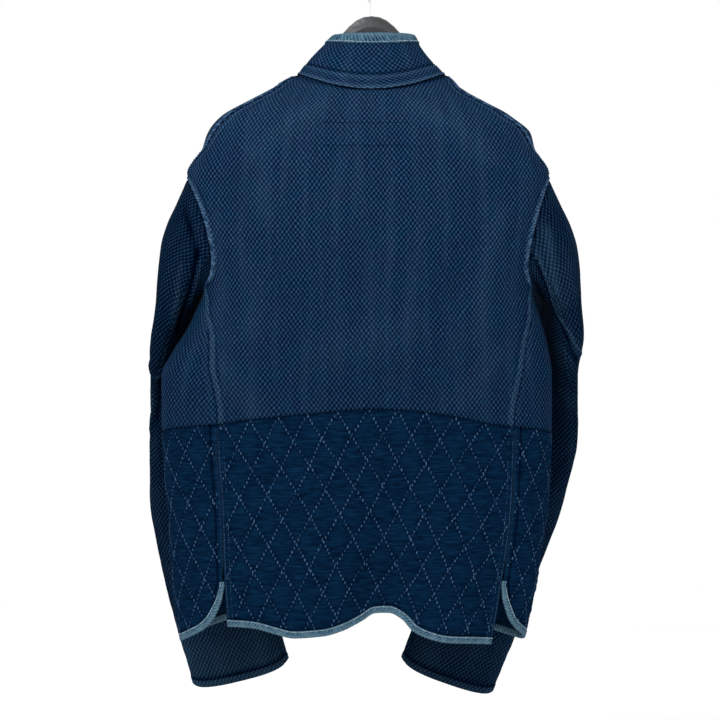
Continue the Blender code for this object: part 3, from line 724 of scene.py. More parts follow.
def tape_cloth(name, deep, pale, lit):
    """Washed-out tape of the bindings, with slanted ribs."""
    f = Finish(name)
    place = f.cloth_place()
    x, y = f.parts(place)
    jitter = f.noise(place, 0.16, 2.0)
    rib = ((x * 0.23 - y * 0.2 + jitter * 1.1) * TWO_PI).cos()
    cloud = f.noise(place, 0.08, 3.0)
    colour = f.mix(f.step(rib, -0.8, 0.8) * 0.7 + f.step(jitter, 0.35, 0.65) * 0.3, deep, pale)
    colour = f.mix(f.step(cloud, 0.42, 0.72) * 0.4, colour, lit)
    # Painted highlight: the mark lightens the tape towards the lit colour along its folded edge and over the
    # whole of the hem tapes
    colour = f.mix(f.mark("wear_and_painted_light"), colour, lit)
    f.give("Base Color", colour)
    f.give("Roughness", 0.84 + 0.12 * jitter)
    f.bump(rib * 0.5 + cloud * 0.8, 0.0005)
    return f.material


def thread_cloth(name, dark, light):
    """Sewing thread, each stitch a little lighter or darker than the next."""
    f = Finish(name)
    tone = f.mark("tone")
    place = f.object_place()
    twist = f.noise(place, 1500.0, 1.0)
    f.give("Base Color", f.mix(tone * (0.8 + 0.4 * twist), dark, light))
    f.give("Roughness", 0.8 + 0.1 * twist)
    f.bump(twist, 0.00015)
    return f.material


def hanger_plastic(name):
    f = Finish(name, roughness=0.34, gloss=0.5)
    place = f.object_place()
    grit = f.noise(place, 900.0, 2.0)
    rub = f.noise(place, 40.0, 3.0)
    f.give("Base Color", f.mix(f.step(rub, 0.45, 0.75), shade(30, 32, 35), shade(46, 48, 52)))
    f.give("Roughness", 0.3 + 0.16 * rub)
    f.bump(grit, 0.00006)
    return f.material


def bright_wire(name):
    f = Finish(name, roughness=0.22, metallic=1.0, gloss=0.5)
    place = f.object_place()
    drawn = f.noise(f.scaled(place, 900.0, 900.0, 60.0), 1.0, 2.0)
    f.give("Base Color", f.mix(drawn, shade(186, 187, 190), shade(222, 223, 226)))
    f.give("Roughness", 0.16 + 0.14 * drawn)
    f.bump(drawn, 0.00003)
    return f.material


# Share of light that the sleeves, the body and the band give back
LIGHT = 0.6
BODY_LIGHT = 0.53
BAND_LIGHT = 0.44
body_finish = grain_cloth(
    "indigo_grain", shade(0, 16, 42, BODY_LIGHT), shade(22, 49, 82, BODY_LIGHT),
    shade(68, 99, 135, BODY_LIGHT), shade(94, 134, 170, BODY_LIGHT), 0.38)
# The sleeves take a darker copy of the grain cloth, partly painted shade for sleeves that turn from the light
sleeve_finish = grain_cloth(
    "indigo_grain_sleeve_shade", shade(0, 6, 25, LIGHT), shade(8, 29, 54, LIGHT), shade(44, 72, 100, LIGHT),
    shade(76, 114, 146, LIGHT), 0.45)
band_finish = band_cloth(
    "dark_indigo_plain", shade(0, 8, 32, BAND_LIGHT), shade(6, 38, 72, BAND_LIGHT),
    shade(20, 62, 96, BAND_LIGHT), shade(70, 104, 134, BAND_LIGHT))
tape_finish = tape_cloth("faded_blue_tape", shade(18, 48, 74, LIGHT), shade(84, 118, 138, LIGHT),
                         shade(104, 136, 152, LIGHT))
sashiko_thread = thread_cloth("pale_blue_thread", shade(26, 54, 88, LIGHT), shade(66, 97, 132, LIGHT))
seam_thread = thread_cloth("indigo_thread", shade(18, 42, 70, LIGHT), shade(66, 98, 130, LIGHT))
braid_thread = thread_cloth("rubbed_thread", shade(26, 52, 84, LIGHT), shade(82, 114, 146, LIGHT))
dark_thread = thread_cloth("dark_thread", shade(0, 10, 28, LIGHT), shade(8, 26, 50, LIGHT))
# Pale thread of the tape stitches, which also serves as painted highlight along the upper edge of the tape
pale_thread_and_highlight = thread_cloth("pale_thread_and_highlight", shade(110, 140, 160, LIGHT), shade(176, 198, 210, LIGHT))
plastic_finish = hanger_plastic("satin_black_plastic")
wire_finish = bright_wire("bright_steel_wire")


def belongs(piece, slot, *nodes):
    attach(piece, "root")
    if nodes:
        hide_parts(*nodes)


def stitches(name, centres, along, out, size, finish, seed=1, loose=0.15, slant=0.0):
    """A run of thread stitches: half-round pills lying on the cloth. size is length, width and height."""
    long, wide, high = size
    draw = np.random.RandomState(seed)
    count = len(centres)
    turn = np.linspace(0.0, TWO_PI, 8, endpoint=False)
    rim_x = np.sign(np.cos(turn)) * np.abs(np.cos(turn)) ** 0.7
    rim_y = np.sign(np.sin(turn)) * np.abs(np.sin(turn)) ** 0.9
    ring = np.stack([rim_x * long / 2, rim_y * wide / 2, np.full(8, -0.35 * high)], -1)
    upper = ring * (0.8, 0.8, 1.0) + (0.0, 0.0, 1.0 * high)
    form = np.concatenate([ring, upper, [(0.0, 0.0, high)]])
    pattern = [tuple(reversed(range(8)))]
    pattern += [(k, (k + 1) % 8, (k + 1) % 8 + 8, k + 8) for k in range(8)]
    pattern += [(k + 8, (k + 1) % 8 + 8, 16) for k in range(8)]
    along = unit(along - out * np.sum(along * out, -1, keepdims=True))
    across = np.cross(out, along)
    angle = draw.normal(slant, loose, (count, 1))
    cs = np.cos(angle)
    sn = np.sin(angle)
    along, across = along * cs + across * sn, across * cs - along * sn
    grow = draw.uniform(0.85, 1.15, (count, 1, 1))
    form = form[None] * grow
    points = (centres[:, None] + form[..., :1] * along[:, None] + form[..., 1:2] * across[:, None]
              + form[..., 2:] * out[:, None])
    faces = [tuple(k * 17 + v for v in face) for k in range(count) for face in pattern]
    tone = np.repeat(draw.uniform(0.0, 1.0, count), 17)
    return make_mesh(name, points.reshape(-1, 3), faces, finish, marks={"tone": tone})


def paced(points, pace):
    """Shares along a line of points, one each pace in mm."""
    length = distances(points)
    places = np.arange(pace / 2, length[-1], pace)
    return np.interp(places, length, np.linspace(0.0, 1.0, len(points)))


def stitched_line(name, surface, a_line, b_line, lift, pace, size, finish, seed=1, slant=0.0):
    """Row of stitches along a line drawn on a surface. surface gives points and normals."""
    fine = np.linspace(0.0, 1.0, 400)
    knots = np.linspace(0.0, 1.0, len(a_line))
    points = surface(np.interp(fine, knots, a_line), np.interp(fine, knots, b_line))[0]
    at = paced(points, pace)
    points, out = surface(np.interp(at, knots, a_line), np.interp(at, knots, b_line))
    along = np.gradient(points, axis=0)
    return stitches(name, points + out * lift, unit(along), out, size, finish, seed, slant=slant)


def body_soft(s, z):
    """Creases and unevenness of the body's cloth."""
    return creases(s, z, BODY_CREASES) + 0.5 * ripples(s, z, 95.0, 3) + 0.2 * ripples(s, z, 34.0, 4)


def on_body(s, z):
    n = normals(body, s, z)
    return body(s, z) + n * body_soft(s, z)[..., None], n


def seam_turn(side, z, front):
    """Edge of the back, or of a front, in turns from the back centre."""
    turn = np.degrees(np.arccos(np.clip((z - ARM_MID_Z) / ARM_HALF, -1.0, 1.0)))
    arm = np.abs(arm_edge(side, 360.0 - turn if front else turn)[0])
    top = smooth(SHOULDER_Z, SHOULDER_U, z)
    low = smooth(SIDE_Z, SIDE_LEFT if side < 0 else SIDE_RIGHT, z)
    return np.where(z > ARM_MID_Z + ARM_HALF, top, np.where(z > ARM_MID_Z - ARM_HALF, arm, low))


def seam_edge(side, z, front):
    return side * girth_of(seam_turn(side, z, front))


def grid_frame(points, n, level):
    """Directions of weft and warp on a surface: level with the ground, or along the grid's columns."""
    if level:
        across = unit(np.cross(np.array([0.0, 0.0, 1.0]), n))
    else:
        across = unit(np.gradient(points, axis=1))
    return across, np.cross(n, across)


def seam_relief(distance, ridge, width=4.2):
    """Turned seam: a rolled edge and the raised allowance beside it."""
    return ridge * (1.0 - ramp((distance - 2 * width + 0.8) / 1.6)) - 1.0 * bell(distance, 0.9)


def seam_tone(distance, ridge, width=4.2):
    """Lighter top of a seam, partly rubbing and partly painted highlight, with painted shadow along its inner
    side and at its edge.
    """
    past = distance - 2 * width
    pale = 0.3 * np.minimum(ridge, 1.3) * ramp((distance - 0.8) / 1.2) * (1.0 - ramp(past / 1.4))
    return pale - np.minimum(ridge, 1.0) * (0.6 * bell(past - 1.6, 1.2) + 0.5 * bell(distance, 1.0))


def body_panel(name, left, right, ridge_left, ridge_right):
    """Panel of the upper body. left and right give its edges, the ridges their heights at each z."""
    shoulder = NECK_Z - SEAM + (ARM_MID_Z + ARM_HALF - NECK_Z) * np.linspace(0.0, 1.0, 42)
    low = np.linspace(shoulder[-1], BAND_Z + SEAM, 72)[1:]
    rows = np.concatenate([shoulder[:1], shoulder[:1] - [1.0, 2.2], shoulder[1:], low])
    share = spread(460.0 if name.startswith("back") else 330.0, BODY_STEP)
    a = left(rows)
    b = right(rows)
    s = a[:, None] + share[None, :] * (b - a)[:, None]
    z = rows[:, None] + (band_top(turns_of(s)) - BAND_Z) * ramp((FALL_Z - rows[:, None]) / (FALL_Z - BAND_Z))
    n = normals(body, s, z)
    plain = body(s, z)
    stretch = stretch_at(s, z)
    soft = body_soft(s, z)
    from_left = (s - a[:, None]) * stretch
    from_right = (b[:, None] - s) * stretch
    high_left = ridge_left(rows)[:, None]
    high_right = ridge_right(rows)[:, None]
    relief = seam_relief(from_left, high_left) + seam_relief(from_right, high_right)
    relief = relief - 1.6 * bell(rows[:, None] - rows[0], 2.2)
    # Painted light and shade: seam tops and crease ridges lighter, crease troughs, seam edges and the rows
    # under the collar darker, the shoulders above z = -250 mm lighter
    wear_and_painted_light = seam_tone(from_left, high_left) + seam_tone(from_right, high_right)
    wear_and_painted_light = wear_and_painted_light - 0.8 * bell(rows[:, None] - rows[0], 3.0) + 0.06 * creases(s, z, BODY_CREASES)
    wear_and_painted_light = wear_and_painted_light + 0.04 * ramp((z + 250.0) / 60.0)
    outer = plain + n * (soft + relief)[..., None]
    inner = plain + n * (soft - CLOTH)[..., None]
    inner[:3, :, 2] += NECK_LEAN
    inner[-1, :, 2] += SEAM_LEAN
    across, up = grid_frame(plain, n, True)
    flat = unrolled(plain, across, up)
    return shell(name, outer, inner, flat, wear_and_painted_light, body_finish), measure(plain, flat)


def arms(z):
    """1 at the heights of the armholes."""
    return ramp((ARM_MID_Z + ARM_HALF + 4.0 - z) / 8.0) * ramp((z - ARM_MID_Z + ARM_HALF + 4.0) / 8.0)


def above(z):
    return ramp((z - ARM_MID_Z - ARM_HALF + 4.0) / 8.0)


def below(z):
    return ramp((ARM_MID_Z - ARM_HALF + 4.0 - z) / 8.0)


def back_ridge(z):
    return 1.8 * arms(z) + 0.5 * above(z) + 0.9 * below(z)


def front_ridge(z):
    return 1.8 * arms(z) + 1.7 * above(z) + 0.2 * below(z)


def plain_ridge(z):
    return 0.6 + 0.0 * z


def measure(plain, flat):
    """Width and length of the cut, and its area, in metres."""
    size = (flat.reshape(-1, 2).max(0) - flat.reshape(-1, 2).min(0)) * 0.001
    area = cut_area(plain)
    return (float(size[0]), float(size[1])), min(area, float(size[0] * size[1]))


back_body, back_size = body_panel(
    "back_body_cloth", lambda z: seam_edge(-1, z, False) + SEAM, lambda z: seam_edge(1, z, False) - SEAM,
    back_ridge, back_ridge)
front_left, front_left_size = body_panel(
    "front_body_left_cloth", lambda z: -HALF_GIRTH + FRONT_EDGE + 0.0 * z,
    lambda z: seam_edge(-1, z, True) - SEAM, plain_ridge, front_ridge)
front_right, front_right_size = body_panel(
    "front_body_right_cloth", lambda z: seam_edge(1, z, True) + SEAM,
    lambda z: HALF_GIRTH - FRONT_EDGE + 0.0 * z, front_ridge, plain_ridge)


def wander(s, drop):
    """How far the diamond lines stray along the girth."""
    return 1.8 * ripples(s, drop * 0.8, 120.0, 13)


def line_gap(s, drop):
    """Distance in mm from the nearest line of diamond stitches."""
    s = s - wander(s, drop)
    a = (s - DIAMOND_START) / DIAMOND_WIDE + drop / DIAMOND_HIGH
    b = (s - DIAMOND_START) / DIAMOND_WIDE - drop / DIAMOND_HIGH
    near = np.minimum(np.abs(a - np.round(a)), np.abs(b - np.round(b)))
    return near * DIAMOND_WIDE / math.hypot(1.0, DIAMOND_WIDE / DIAMOND_HIGH)


def band_relief(s, drop):
    """Quilted pillows between the stitch lines, with level puckers drawn up by the thread."""
    near = line_gap(s, drop)
    pillow = 1.0 - bell(near, 4.6)
    drift = 3.2 * ripples(s, drop * 0.6, 46.0, 11)
    patch = 0.55 + 0.45 * ripples(s, drop, 38.0, 12)
    pucker = np.sin(TWO_PI * (drop + drift) / 9.2)
    pucker = pucker + 0.5 * np.sin(TWO_PI * (drop - 1.3 * drift) / 6.1 + s / 21.0)
    return 1.3 * pillow + 0.5 * pucker * patch * ramp(near / 3.5)


def on_band(s, z):
    n = normals(body, s, z)
    drop = band_top(turns_of(s)) - z
    height = body_soft(s, z) + band_relief(s, drop) * ramp(drop / BAND_CALM)
    return body(s, z) + n * height[..., None], n


def back_low(s):
    return smooth(HEM_X, HEM_Z, body(s, np.full_like(s, HEM_READ_Z))[..., 0])


side_left = float(girth_of(SIDE_LEFT[0]))
side_right = float(girth_of(SIDE_RIGHT[0]))


def left_low(s):
    return smooth(CORNER_D, CORNER_Z, -side_left - s)


def right_low(s):
    return smooth(CORNER_D, CORNER_Z, s - side_right)


def vent_shift(z):
    return VENT_BACK * ramp((VENT_Z - z) / 20.0)


def band_panel(name, left, right, low, vents):
    """Panel of the quilted band. vents are -1 and 1 for the edges that are open below the side seam."""
    step_s, step_z = BAND_STEP
    s_line = left + (right - left) * spread(right - left, step_s)
    top = band_top(turns_of(s_line)) - SEAM
    bottom = low(s_line)
    share = spread(float(np.mean(top - bottom)), step_z, (1.2, 2.8))
    s = np.repeat(s_line[None, :], len(share), 0)
    z = top[None, :] - share[:, None] * (top - bottom)[None, :]
    for side in vents:
        column = 0 if side < 0 else -1
        move = vent_shift(z[:, column]) * (1.0 if side < 0 else -1.0)
        fade = np.clip(1.0 - np.abs(s_line - s_line[column]) / 14.0, 0.0, 1.0)
        s = s + move[:, None] * fade[None, :]
    drop = band_top(turns_of(s)) - z
    n = normals(body, s, z)
    plain = body(s, z)
    soft = body_soft(s, z)
    from_side = np.minimum(s - left, right - s)
    to_hem = z - bottom[None, :]
    inward = to_hem
    if vents:
        inward = np.minimum(to_hem, from_side - smooth(CORNER_Z[:9], CORNER_D[:9], z))
    calm = ramp(drop / BAND_CALM) * ramp((from_side - 1.0) / 8.0) * ramp((inward - 6.5) / 3.0)
    relief = band_relief(s, drop) * calm
    facing = 0.45 * (1.0 - ramp((from_side - 10.0) / 2.0)) * ramp(drop / 40.0) * ramp((inward - 6.5) / 1.5)
    relief = relief + facing - 0.4 * bell(from_side - 9.0, 1.1) * ramp(drop / 40.0)
    relief = relief - 0.6 * bell(from_side, 1.0)
    # A little lighter at the side edges; painted shade along the stitch lines, under the upper edge of the
    # hem tape and under the band's top seam
    wear_and_painted_light = 0.1 * bell(from_side, 3.0) - 0.5 * bell(line_gap(s, drop), 2.4) * calm
    wear_and_painted_light = wear_and_painted_light - 0.9 * bell(inward - 8.3, 1.4) - 0.7 * bell(drop, 2.5)
    outer = plain + n * (soft + relief)[..., None]
    inner = plain + n * (soft + 0.3 * relief - BAND_CLOTH)[..., None]
    inner[0, :, 2] += SEAM_LEAN
    across, up = grid_frame(plain, n, True)
    flat = unrolled(plain, across, up)
    return shell(name, outer, inner, flat, wear_and_painted_light, band_finish), measure(plain, flat)


# Left edge, right edge and hem of each piece of the band
BACK_SPAN = (-side_left + SEAM, side_right - SEAM, back_low)
LEFT_SPAN = (-HALF_GIRTH + FRONT_EDGE, -side_left - SEAM, left_low)
RIGHT_SPAN = (side_right + SEAM, HALF_GIRTH - FRONT_EDGE, right_low)
back_skirt, back_skirt_size = band_panel("back_band_cloth", *BACK_SPAN, ())
left_skirt, left_skirt_size = band_panel("front_band_left_cloth", *LEFT_SPAN, (1,))
right_skirt, right_skirt_size = band_panel("front_band_right_cloth", *RIGHT_SPAN, (-1,))


def diamond_stitches(name, left, right, low, seed):
    """Upright running stitches along both families of diamond lines."""
    rows = []
    for way in (1.0, -1.0):
        count = int(300.0 / SASHIKO_DROP)
        drop = (np.arange(count) + (0.5 if way > 0 else 0.15)) * SASHIKO_DROP
        first = math.floor((left - DIAMOND_START) / DIAMOND_WIDE) - 6
        last = math.ceil((right - DIAMOND_START) / DIAMOND_WIDE) + 6
        for k in range(first, last + 1):
            s = DIAMOND_START + DIAMOND_WIDE * (k + way * drop / DIAMOND_HIGH)
            s = s + wander(s, drop)
            rows.append(np.stack([s, drop], -1))
    rows = np.concatenate(rows)
    draw = np.random.RandomState(seed)
    rows = rows + draw.normal(0.0, 0.22, rows.shape)
    s, drop = rows[:, 0], rows[:, 1]
    z = band_top(turns_of(s)) - drop
    keep = (s > left + 4.0) & (s < right - 4.0) & (drop > 2.0) & (z > low(s) + 8.5)
    s, z = s[keep], z[keep]
    points, out = on_band(s, z)
    up = on_band(s, z + 0.5)[0] - points
    return stitches(name, points + out * 0.1, up, out, SASHIKO, sashiko_thread, seed, 0.12)


back_diamonds = diamond_stitches("back_diamond_stitches", *BACK_SPAN, 21)
left_diamonds = diamond_stitches("front_left_diamond_stitches", *LEFT_SPAN, 22)
right_diamonds = diamond_stitches("front_right_diamond_stitches", *RIGHT_SPAN, 23)


def tape_section(thick):
    """Outer and inner line of a tape folded over an edge: depth from the edge and height."""
    outer = []
    inner = []
    for line, gap in ((outer, TAPE_SLOT + TAPE), (inner, TAPE_SLOT)):
        bulge = 0.25 if gap > TAPE_SLOT else 0.0
        for depth in (TAPE_DEPTH, TAPE_DEPTH - 0.6, 5.0, 3.2, 1.5):
            round_off = -0.35 if depth == TAPE_DEPTH and gap > TAPE_SLOT else bulge
            line.append((depth, gap + round_off))
        for turn in range(8):
            angle = math.pi * (0.5 - (turn + 0.5) / 8)
            reach = thick / 2 + gap + 0.5 * bulge
            line.append((-reach * math.cos(angle), -thick / 2 + reach * math.sin(angle)))
        for depth in (1.5, 3.2, 5.0, TAPE_DEPTH):
            line.append((depth, -thick - gap))
    return outer, inner


def folded_tape(name, place, count, thick):
    """Tape along an edge. place(depth) gives points and normals at a depth from the edge."""
    outer, inner = tape_section(thick)
    edge = place(0.0)[0]
    inward = unit(place(1.5)[0] - edge)
    draw = np.random.RandomState(len(name))
    wobble = np.convolve(draw.normal(0.0, 0.2, count + 4), np.ones(5) / 2.4, "valid")
    rings = []
    for depth, height in outer + list(reversed(inner)):
        base, n = place(max(depth, 0.0))
        point = base + n * height
        if depth < 0:
            point = point + inward * depth
        rings.append(point + n * (wobble * (0.6 if height > 0 else 0.0))[:, None])
    rings = np.stack(rings, 1)
    size = rings.shape[1]
    half = size // 2
    faces = []
    for k in range(count - 1):
        for j in range(size):
            a = k * size + j
            b = k * size + (j + 1) % size
            faces.append((a, b, b + size, a + size))
    for start, turned in ((0, False), ((count - 1) * size, True)):
        for j in range(half - 1):
            face = (start + j, start + size - 1 - j, start + size - 2 - j, start + j + 1)
            faces.append(tuple(reversed(face)) if turned else face)
    points = rings.reshape(-1, 3)
    if inside_out(points, faces):
        faces = [tuple(reversed(face)) for face in faces]
    run = distances(edge)
    around = np.array([d for d, _ in outer] + [d for d, _ in reversed(inner)])
    flat = np.stack(np.broadcast_arrays(run[:, None], around[None, :]), -1)
    # Painted light: the hem tapes lighter than the collar tape, and each tape lighter along its folded edge
    # as painted highlight
    hem_tape_painted_light = 0.0 if name.startswith("collar") else 0.1
    ridge = np.broadcast_to(bell(around, 1.4) * 0.5 + hem_tape_painted_light, (count, size))
    return make_mesh(name, points, faces, tape_finish, flat.reshape(-1, 2), {"wear_and_painted_light": ridge.reshape(-1)})


def hem_path(s, z, inward, thin=1.0):
    """Even stations along an edge of the band and a function giving points at a depth from it."""
    length = np.concatenate([[0.0], np.cumsum(np.hypot(np.diff(s), np.diff(z)))])
    even = np.linspace(0.0, length[-1], int(length[-1] / 2.8) + 2)
    s = np.interp(even, length, s)
    z = np.interp(even, length, z)
    run = np.stack([np.gradient(s), np.gradient(z)], -1)
    run = run / np.linalg.norm(run, axis=1, keepdims=True)
    taper = thin + (1.0 - thin) * ramp(even / 40.0)

    def place(depth):
        at_s = s - run[:, 1] * inward * depth * taper
        at_z = z + run[:, 0] * inward * depth * taper
        n = normals(body, at_s, at_z)
        return body(at_s, at_z) + n * body_soft(at_s, at_z)[:, None], n

    return place, len(even)


def tape_stitches(name, place, lift, seed):
    # Pale stitches along the tape's upper edge: sewn stitches that also paint the highlight of that edge
    points, out = place(TAPE_DEPTH - 1.1)
    share = np.linspace(0.0, 1.0, len(points))
    at = paced(points, TAPE_PACE)
    line = np.stack([np.interp(at, share, points[:, k]) for k in range(3)], -1)
    up = unit(np.stack([np.interp(at, share, out[:, k]) for k in range(3)], -1))
    along = unit(np.gradient(line, axis=0))
    return stitches(name, line + up * lift, along, up, TAPE_STITCH, pale_thread_and_highlight, seed, 0.04)


s_line = np.linspace(-side_left + SEAM, side_right - SEAM, 400)
place, count = hem_path(s_line, back_low(s_line), 1.0)
back_tape = folded_tape("back_hem_tape", place, count, BAND_CLOTH)
back_tape_stitches = tape_stitches("back_hem_tape_stitches", place, 1.4, 31)
front_tapes = {}
for side_name, start, sign in (("left", -side_left, -1.0), ("right", side_right, 1.0)):
    end = HALF_GIRTH - abs(start) - FRONT_EDGE
    away = np.concatenate([np.full(9, VENT_BACK), np.linspace(VENT_BACK, end, 500)])
    edge_z = smooth(CORNER_D, CORNER_Z, away)
    edge_z[:9] = edge_z[9] + np.linspace(VENT_TAPE, 0.6, 9)
    place, count = hem_path(start + sign * away, edge_z, sign, 0.5)
    made = folded_tape("front_hem_tape_" + side_name, place, count, BAND_CLOTH)
    rows = tape_stitches("front_hem_tape_stitches_" + side_name, place, 1.4, 32)
    front_tapes[side_name] = (made, rows)


def collar_soft(s, h):
    """Unevenness of the collar's cloth, and the raised strip along its foot."""
    return 0.35 * ripples(s, h * COLLAR_SPAN, 60.0, 5) + 0.9 * (1.0 - ramp((h * 56.0 - 13.0) / 3.0))


def on_collar(s, h):
    n = normals(collar, s, h, dz=0.02)
    return collar(s, h) + n * collar_soft(s, h)[..., None], n


collar_s = np.linspace(-HALF_GIRTH + COLLAR_ENDS, HALF_GIRTH - COLLAR_ENDS, 250)
collar_h = 0.002 + 0.998 * spread(COLLAR_SPAN, 1.9, (1.0, 2.2))
s, h = np.meshgrid(collar_s, collar_h)
n = normals(collar, s, h, dz=0.02)
plain = collar(s, h)
rise = h * COLLAR_HIGH
soft = collar_soft(s, h) + 0.7 * bell(rise - 0.5, 1.6) - 0.9 * bell(rise - STRIP_HIGH, 1.3)
across, up = grid_frame(plain, n, False)
flat = unrolled(plain, across, up)
# Painted highlight at the foot of the collar and the top of its strip, painted shadow in the groove above the
# strip and under the edge of the tape
wear_and_painted_light = 0.7 * bell(rise - 1.5, 1.7) + 0.25 * bell(rise - 12.5, 2.2) - 0.75 * bell(rise - 16.3, 1.2)
wear_and_painted_light = wear_and_painted_light - 0.6 * bell(rise - 50.0, 2.0)
collar_flat = flat * (-0.85, 1.2)
collar_flat[..., 1] += 0.7 * np.minimum(rise - STRIP_HIGH, 0.0)
inner = plain - n * (CLOTH - 0.6 * collar_soft(s, h)[..., None])
inner[:3, :, 2] += NECK_LEAN
collar_cloth = shell("collar_cloth", plain + n * soft[..., None], inner, collar_flat, wear_and_painted_light, body_finish)
collar_size = measure(plain, flat)


def collar_place(depth):
    s = np.linspace(-HALF_GIRTH + COLLAR_ENDS, HALF_GIRTH - COLLAR_ENDS, 190)
    return on_collar(s, np.full_like(s, 1.0 - depth / COLLAR_EDGE))


collar_tape = folded_tape("collar_tape", collar_place, 190, CLOTH)
collar_tape_stitches = tape_stitches("collar_tape_stitches", collar_place, 1.4, 33)


def sleeve_line(name):
    """Ring numbers and mm down the arm."""
    rings = np.linspace(0.0, CUFF_RING, 500)
    middle = sum(sleeve(name, turn, rings) for turn in (0.0, 90.0, 180.0, 270.0)) / 4
    return rings, distances(middle)


SLEEVE_LINES = {name: sleeve_line(name) for name in SLEEVES}


def sleeve_soft(name, turn, ring):
    rings, length = SLEEVE_LINES[name]
    down = np.interp(ring, rings, length)
    folds = SLEEVE_CREASES[name]
    near = creases(turn, down, folds, DEGREE) + creases(turn - 360.0, down, folds, DEGREE)
    round_mm = turn * DEGREE
    calm = ramp(down / 25.0)
    return (near + 0.55 * ripples(round_mm, down, 70.0, 6) + 0.2 * ripples(round_mm, down, 28.0, 7)) * calm


def on_sleeve(name, turn, ring):
    n, _ = sleeve_frame(name, turn, ring)
    return sleeve(name, turn, ring) + n * sleeve_soft(name, turn, ring)[..., None], n


def sleeve_seam(ring):
    return smooth(SLEEVE_SEAM_RING, SLEEVE_SEAM_TURN, ring)


def sleeve_panel(name, panel):
    """Outer or under panel of a sleeve."""
    rings, length = SLEEVE_LINES[name]
    share = spread(length[-1], SLEEVE_STEP, (1.2, 2.6, 4.2, 6.0, 7.6, 9.2, 11.0))
    ring = np.interp(share * length[-1], length, rings)
    ring[0] = 0.012
    after = sleeve(name, np.full_like(ring, 91.0), ring)
    before = sleeve(name, np.full_like(ring, 89.0), ring)
    degree = np.linalg.norm(after - before, axis=1) / 2
    gap = 0.6 * SEAM / degree
    seam_at = sleeve_seam(ring)
    if panel == "top":
        low, high = SLEEVE_FRONT_TURN - 360.0 + gap, seam_at - gap
    else:
        low, high = seam_at + gap, SLEEVE_FRONT_TURN - gap
    across = spread(float(np.mean(high - low)) * 1.15, SLEEVE_STEP)
    turn = low[:, None] + across[None, :] * (high - low)[:, None]
    at = np.repeat(ring[:, None], turn.shape[1], 1)
    plain = sleeve(name, turn, at)
    n, down = sleeve_frame(name, turn, at)
    soft = sleeve_soft(name, turn, at)
    width = np.linalg.norm(plain[:, 1:] - plain[:, :-1], axis=-1)
    run = np.concatenate([np.zeros((len(ring), 1)), np.cumsum(width, 1)], 1)
    from_low = run
    from_high = run[:, -1:] - run
    along = np.interp(at, rings, length)
    to_cuff = length[-1] - along
    seam_ridge = 0.3 if panel == "top" else 1.1
    edge = seam_relief(from_high if panel == "top" else from_low, seam_ridge, 3.0)
    edge = edge + seam_relief(from_low if panel == "top" else from_high, 0.3, 3.0)
    hem = 0.55 * (1.0 - ramp((to_cuff - CUFF_HEM + 0.8) / 1.4)) - 0.6 * bell(to_cuff - CUFF_HEM - 0.6, 1.0)
    relief = edge + hem - 1.8 * bell(along, 3.5)
    # Painted light and shade: crease ridges lighter and troughs darker, painted shadow along the armhole and
    # above the cuff hem, a lighter cuff hem band, lighter near the top of the right sleeve and darker near
    # the top of the left, and painted light towards the cuffs, most on the left
    wear_and_painted_light = 0.12 * soft - 0.03 - 0.35 * np.maximum(-1.5 - soft, 0.0)
    wear_and_painted_light = wear_and_painted_light + (0.07 if name == "right" else -0.07) * (1.0 - ramp((along - 160.0) / 120.0))
    wear_and_painted_light = wear_and_painted_light + (0.07 if name == "left" else 0.03) * ramp((along - 220.0) / 120.0)
    wear_and_painted_light = wear_and_painted_light + 0.2 * (1.0 - ramp(to_cuff - CUFF_HEM + 1.0)) - 0.9 * bell(to_cuff - CUFF_HEM - 0.6, 1.3)
    wear_and_painted_light = wear_and_painted_light - 0.9 * bell(along, 2.5) + (0.24 if name == "left" else 0.1) * ramp((along - 500.0) / 90.0)
    outer = plain + n * (soft + relief)[..., None]
    inner = plain + n * (soft - SLEEVE_CLOTH)[..., None]
    up = unit(-down + n * np.sum(down * n, -1, keepdims=True))
    flat = unrolled(plain, np.cross(up, n), up)
    made = shell("sleeve_" + name + "_" + panel + "_cloth", outer, inner, flat, wear_and_painted_light, sleeve_finish)
    return made, measure(plain, flat)


sleeve_parts = {}
for side_name in SLEEVES:
    for panel in ("top", "under"):
        sleeve_parts[side_name, panel] = sleeve_panel(side_name, panel)


def inward_of(side, front):
    """Way along the girth from a seam into a front, or into the back."""
    return side if front else -side


def beside_edge(side, front, z_line, depth):
    """Girth of a line beside the edge of the back or of a front, depth mm into its cloth."""
    edge = seam_edge(side, z_line, front)
    return edge + inward_of(side, front) * depth / stretch_at(edge, z_line)


def seam_row(name, side, front, z_line, depth, lift, seed):
    """Stitches sewn through from outside beside an edge."""
    line = beside_edge(side, front, z_line, depth)
    return stitched_line(name, on_body, line, z_line, lift, SEWN_PACE, SEWN, seam_thread, seed)


def braid_row(name, side, front, z_line):
    """Slanted rolls along the rubbed ridge of a seam."""
    line = beside_edge(side, front, z_line, BRAID_DEPTH)
    slant = BRAID_SLANT * inward_of(side, front)
    return stitched_line(name, on_body, line, z_line, BRAID_LIFT, BRAID_PACE, BRAID, braid_thread, 47, slant)


shoulder_z = np.linspace(NECK_Z - 4.0, ARM_MID_Z + ARM_HALF + 3.0, 60)
arm_z = np.linspace(ARM_MID_Z + ARM_HALF - 2.0, ARM_MID_Z - ARM_HALF + 2.0, 60)
side_z = np.linspace(ARM_MID_Z - ARM_HALF - 4.0, BAND_Z - 26.0, 60)
